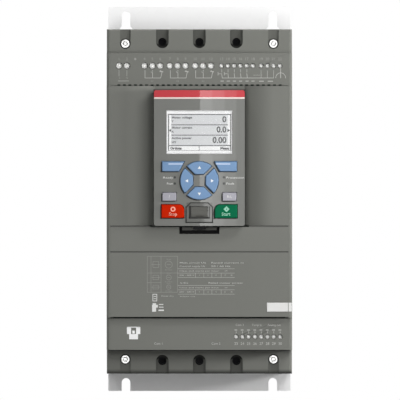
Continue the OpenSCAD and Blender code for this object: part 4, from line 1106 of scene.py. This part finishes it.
def makeGapLines(p):
    makePortGaps(p)
    # painted shadow: a grey bar over the keypad
    _, high = inMm(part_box("keypad_bezel"))
    height = p["keypadHeight"]
    bar = (0, high[2] + height / 2, 2 * high[0] + p["keypadReach"], height, 0)
    finishInk("keypadGap", [inkBars([bar], faces["lower"] - p["sunk"])], "seam", "starter")
    # painted shadow: a near black bar on the shoulder under the extension panel
    low, _ = inMm(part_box("extension_panel"))
    height = p["shoulderHeight"]
    bar = (0, low[2] - height / 2, p["shoulderWidth"], height, 0)
    finishInk("shoulderShadow", [inkBars([bar], faces["shoulder"] - p["sunk"])], "gap", "starter")
    # the covers' seams filled with grey, painted as the shade in them
    bars = []
    for upper, under, inner in p["seams"]:
        low, _ = inMm(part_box(upper))
        _, high = inMm(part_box(under))
        z, end = (low[2] + high[2]) / 2, high[0]
        bars += [(side * (end + inner) / 2, z, end - inner, p["seamHeight"], 0) for side in (-1, 1)]
    finishInk("seamShadeStrips", [inkBars(bars, faces["lower"] - p["seamSink"])], "seam", "starter")
    pieces = []
    for name in p["panels"]:
        low, high = inMm(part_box(name))
        z, height, x = (low[2] + high[2]) / 2, high[2] - low[2], high[0] + p["sideReach"]
        bars = [(side * x, z, p["sideWidth"], height, 0) for side in (-1, 1)]
        pieces.append(inkBars(bars, -low[1] - p["sideSink"]))
    finishInk("sideStrips", pieces, "fill", "starter")


# painted shadow: a dark fringe on the bezel, to the left of each key and under it, where the keys' shadows
# fall, which follows the bow as the key does:
# its gap to the key and its width as x and z, its depth behind the key's face, and the normal of front faces
keyGaps = {"gap": (-0.25, -0.2), "width": (-0.75, -0.5), "back": 1.48, "facing": -0.7}


# the front face of a key alone, with its outline selected
def keyFace(name, facing):
    face = copyNode(name)
    bpy.context.tool_settings.mesh_select_mode = (False, False, True)
    bpy.ops.object.mode_set(mode="EDIT")
    bpy.ops.mesh.select_all(action="DESELECT")
    leaveEdit()
    for polygon in face.data.polygons:
        rim = bowedDepth(polygon.center.x / mm) + faces["keyProud"] / 2
        polygon.select = polygon.normal.y > facing or -polygon.center.y < rim * mm
    bpy.ops.object.mode_set(mode="EDIT")
    bpy.ops.mesh.delete(type="FACE")
    bpy.ops.mesh.select_all(action="SELECT")
    bpy.ops.mesh.remove_doubles(threshold=mergeGap * mm)
    bpy.ops.mesh.region_to_loop()
    leaveEdit()
    return face


def makeKeyGaps(p):
    wideX, wideZ = p["width"]
    gapX, gapZ = p["gap"]
    fringes = []
    for name in keyNames:
        fringe = keyFace(name, p["facing"])
        # of the face's outline, only the edges that look towards the fringe
        places = [v.co for v in fringe.data.vertices]
        middle = sum(places, Vector()) / len(places)
        for edge in fringe.data.edges:
            a, b = (places[i] for i in edge.vertices)
            outX, outZ = b.z - a.z, a.x - b.x
            if outX * (a.x - middle.x) + outZ * (a.z - middle.z) < 0:
                outX, outZ = -outX, -outZ
            edge.select = edge.select and outX * wideX + outZ * wideZ > 0
        bpy.context.tool_settings.mesh_select_mode = (False, True, False)
        bpy.ops.object.mode_set(mode="EDIT")
        bpy.ops.mesh.duplicate()
        bpy.ops.mesh.select_all(action="INVERT")
        bpy.ops.mesh.delete(type="VERT")
        bpy.ops.mesh.select_all(action="SELECT")
        bpy.ops.transform.translate(value=(gapX * mm, p["back"] * mm, gapZ * mm))
        bpy.ops.mesh.extrude_edges_move(TRANSFORM_OT_translate={"value": (wideX * mm, 0, wideZ * mm)})
        leaveEdit()
        fringes.append(fringe)
    bpy.context.tool_settings.mesh_select_mode = (True, False, False)
    finishInk("keyGaps", fringes, "gap", "keypad")


makeGapLines(shadowsAndFills)
makeKeyGaps(keyGaps)
print("gap lines done")

for name, width in softEdges.items():
    softCopy(name, width, edgeRound)
print("edges softened")


# stage, light and camera, in metres

stage = {"floorZ": -0.3, "floorSize": 9.0, "floorColour": (0.3, 0.3, 0.3, 1.0), "glow": 0.85, "ambient": 0.06}


# 1 where the camera sees the background, straight, mirrored or through the window
def seenRays(w):
    rays = {out.socket.name: out for out in w.node("ShaderNodeLightPath").outputs()}
    seen = w.maths("MAXIMUM", rays["Is Camera Ray"], rays["Is Glossy Ray"])
    return w.maths("MAXIMUM", seen, rays["Is Transmission Ray"])


def makeFloor(p):
    deselectAll()
    bpy.ops.mesh.primitive_plane_add(size=p["floorSize"], location=(0, 0, p["floorZ"]))
    floor = bpy.context.object
    floor.name = "floor"
    applyPlace()
    mat = bpy.data.materials.new("paleFloor")
    w, end = emptyTree(mat, "ShaderNodeOutputMaterial")
    matt = w.node("ShaderNodeBsdfDiffuse", {}, {"Color": p["floorColour"]})
    glow = w.node("ShaderNodeEmission", {}, {"Color": white, "Strength": 1.0})
    both = w.node("ShaderNodeMixShader", {}, {0: seenRays(w) * p["glow"], 1: matt, 2: glow})
    w.feed(end, {"Surface": both})
    floor.data.materials.append(mat)


def makeWorld(p):
    scene.world = bpy.data.worlds.new("studio")
    w, end = emptyTree(scene.world, "ShaderNodeOutputWorld")
    strength = seenRays(w) * (1 - p["ambient"]) + p["ambient"]
    back = w.node("ShaderNodeBackground", {}, {"Color": white, "Strength": strength})
    w.feed(end, {"Surface": back})


lamps = {
    # low in front, a little left: it fills the shadow that the others leave beside the keypad
    "front": {"place": (-0.12, -1.34, 0.042), "size": (0.25, 0.15), "power": 3.1},
    # higher and on the right: the soft shadow on the left of the keypad and its keys
    "upper": {"place": (0.306, -1.292, 0.208), "size": (0.25, 0.15), "power": 3.0},
    "near": {"place": (0.35, -0.6, 0.4), "size": (0.3, 0.2), "power": 1.65},
    # far round on the right, grazing the front
    "side": {"place": (1.123, -0.559, 0.105), "size": (0.25, 0.15), "power": 8.0},
    # overhead, for the plate's upper end
    "overhead": {"place": (-0.16, -0.08, 0.6), "size": (0.3, 0.08), "power": 2.0},
    # behind, for the back and the sides
    "rearLeft": {"place": (-1.2, 0.6, 0.3), "size": (0.8, 0.5), "power": 10.0},
    "rearRight": {"place": (1.2, 0.6, 0.3), "size": (0.8, 0.5), "power": 10.0},
}
# tall strips beside the camera, mirrored as a bright band in the bowed keypad: width and brightness
band = {
    "left": 0.004, "y": -2.2, "z": 0.03, "height": 0.4,
    "strips": ((0.1, 6.0), (0.1, 4.2), (0.1, 2.2), (0.15, 0.5)),
}
aimPoint = Vector((0, -0.15, 0))


def addLamp(name, place, size, power, aim):
    deselectAll()
    bpy.ops.object.light_add(type="AREA", location=place)
    lamp = bpy.context.object
    lamp.name = name + "Lamp"
    lamp.data.shape = "RECTANGLE"
    lamp.data.size, lamp.data.size_y = size
    lamp.data.energy = power
    lamp.visible_camera = False
    lamp.rotation_euler = (aim - Vector(place)).to_track_quat("-Z", "Y").to_euler()
    return lamp


def makeLamps():
    for name, p in lamps.items():
        lamp = addLamp(name, p["place"], p["size"], p["power"], aimPoint)
        lamp.visible_glossy = False     # only the band is mirrored
    x = band["left"]
    for width, bright in band["strips"]:
        place = (x + width / 2, band["y"], band["z"])
        power = bright * math.pi * width * band["height"]
        addLamp("band", place, (width, band["height"]), power, Vector((place[0], 0, place[2])))
        x += width


# a long lens, and the width of the picture at a plane inside the object
camera = {"lens": 1700.0, "sensor": 36.0, "span": 0.325, "plane": -0.105, "x": 0.0005, "z": -0.0008}


def makeCamera(p):
    deselectAll()
    away = p["lens"] / p["sensor"] * p["span"]
    bpy.ops.object.camera_add(location=(p["x"], p["plane"] - away, p["z"]), rotation=(math.radians(90), 0, 0))
    cam = bpy.context.object
    cam.name = "photoCamera"
    cam.data.sensor_width = p["sensor"]
    cam.data.lens = p["lens"]
    cam.data.clip_start, cam.data.clip_end = 0.1, 100.0
    scene.camera = cam


makeFloor(stage)
makeWorld(stage)
makeLamps()
makeCamera(camera)
scene.view_settings.view_transform = "Standard"
print("stage, light and camera done")
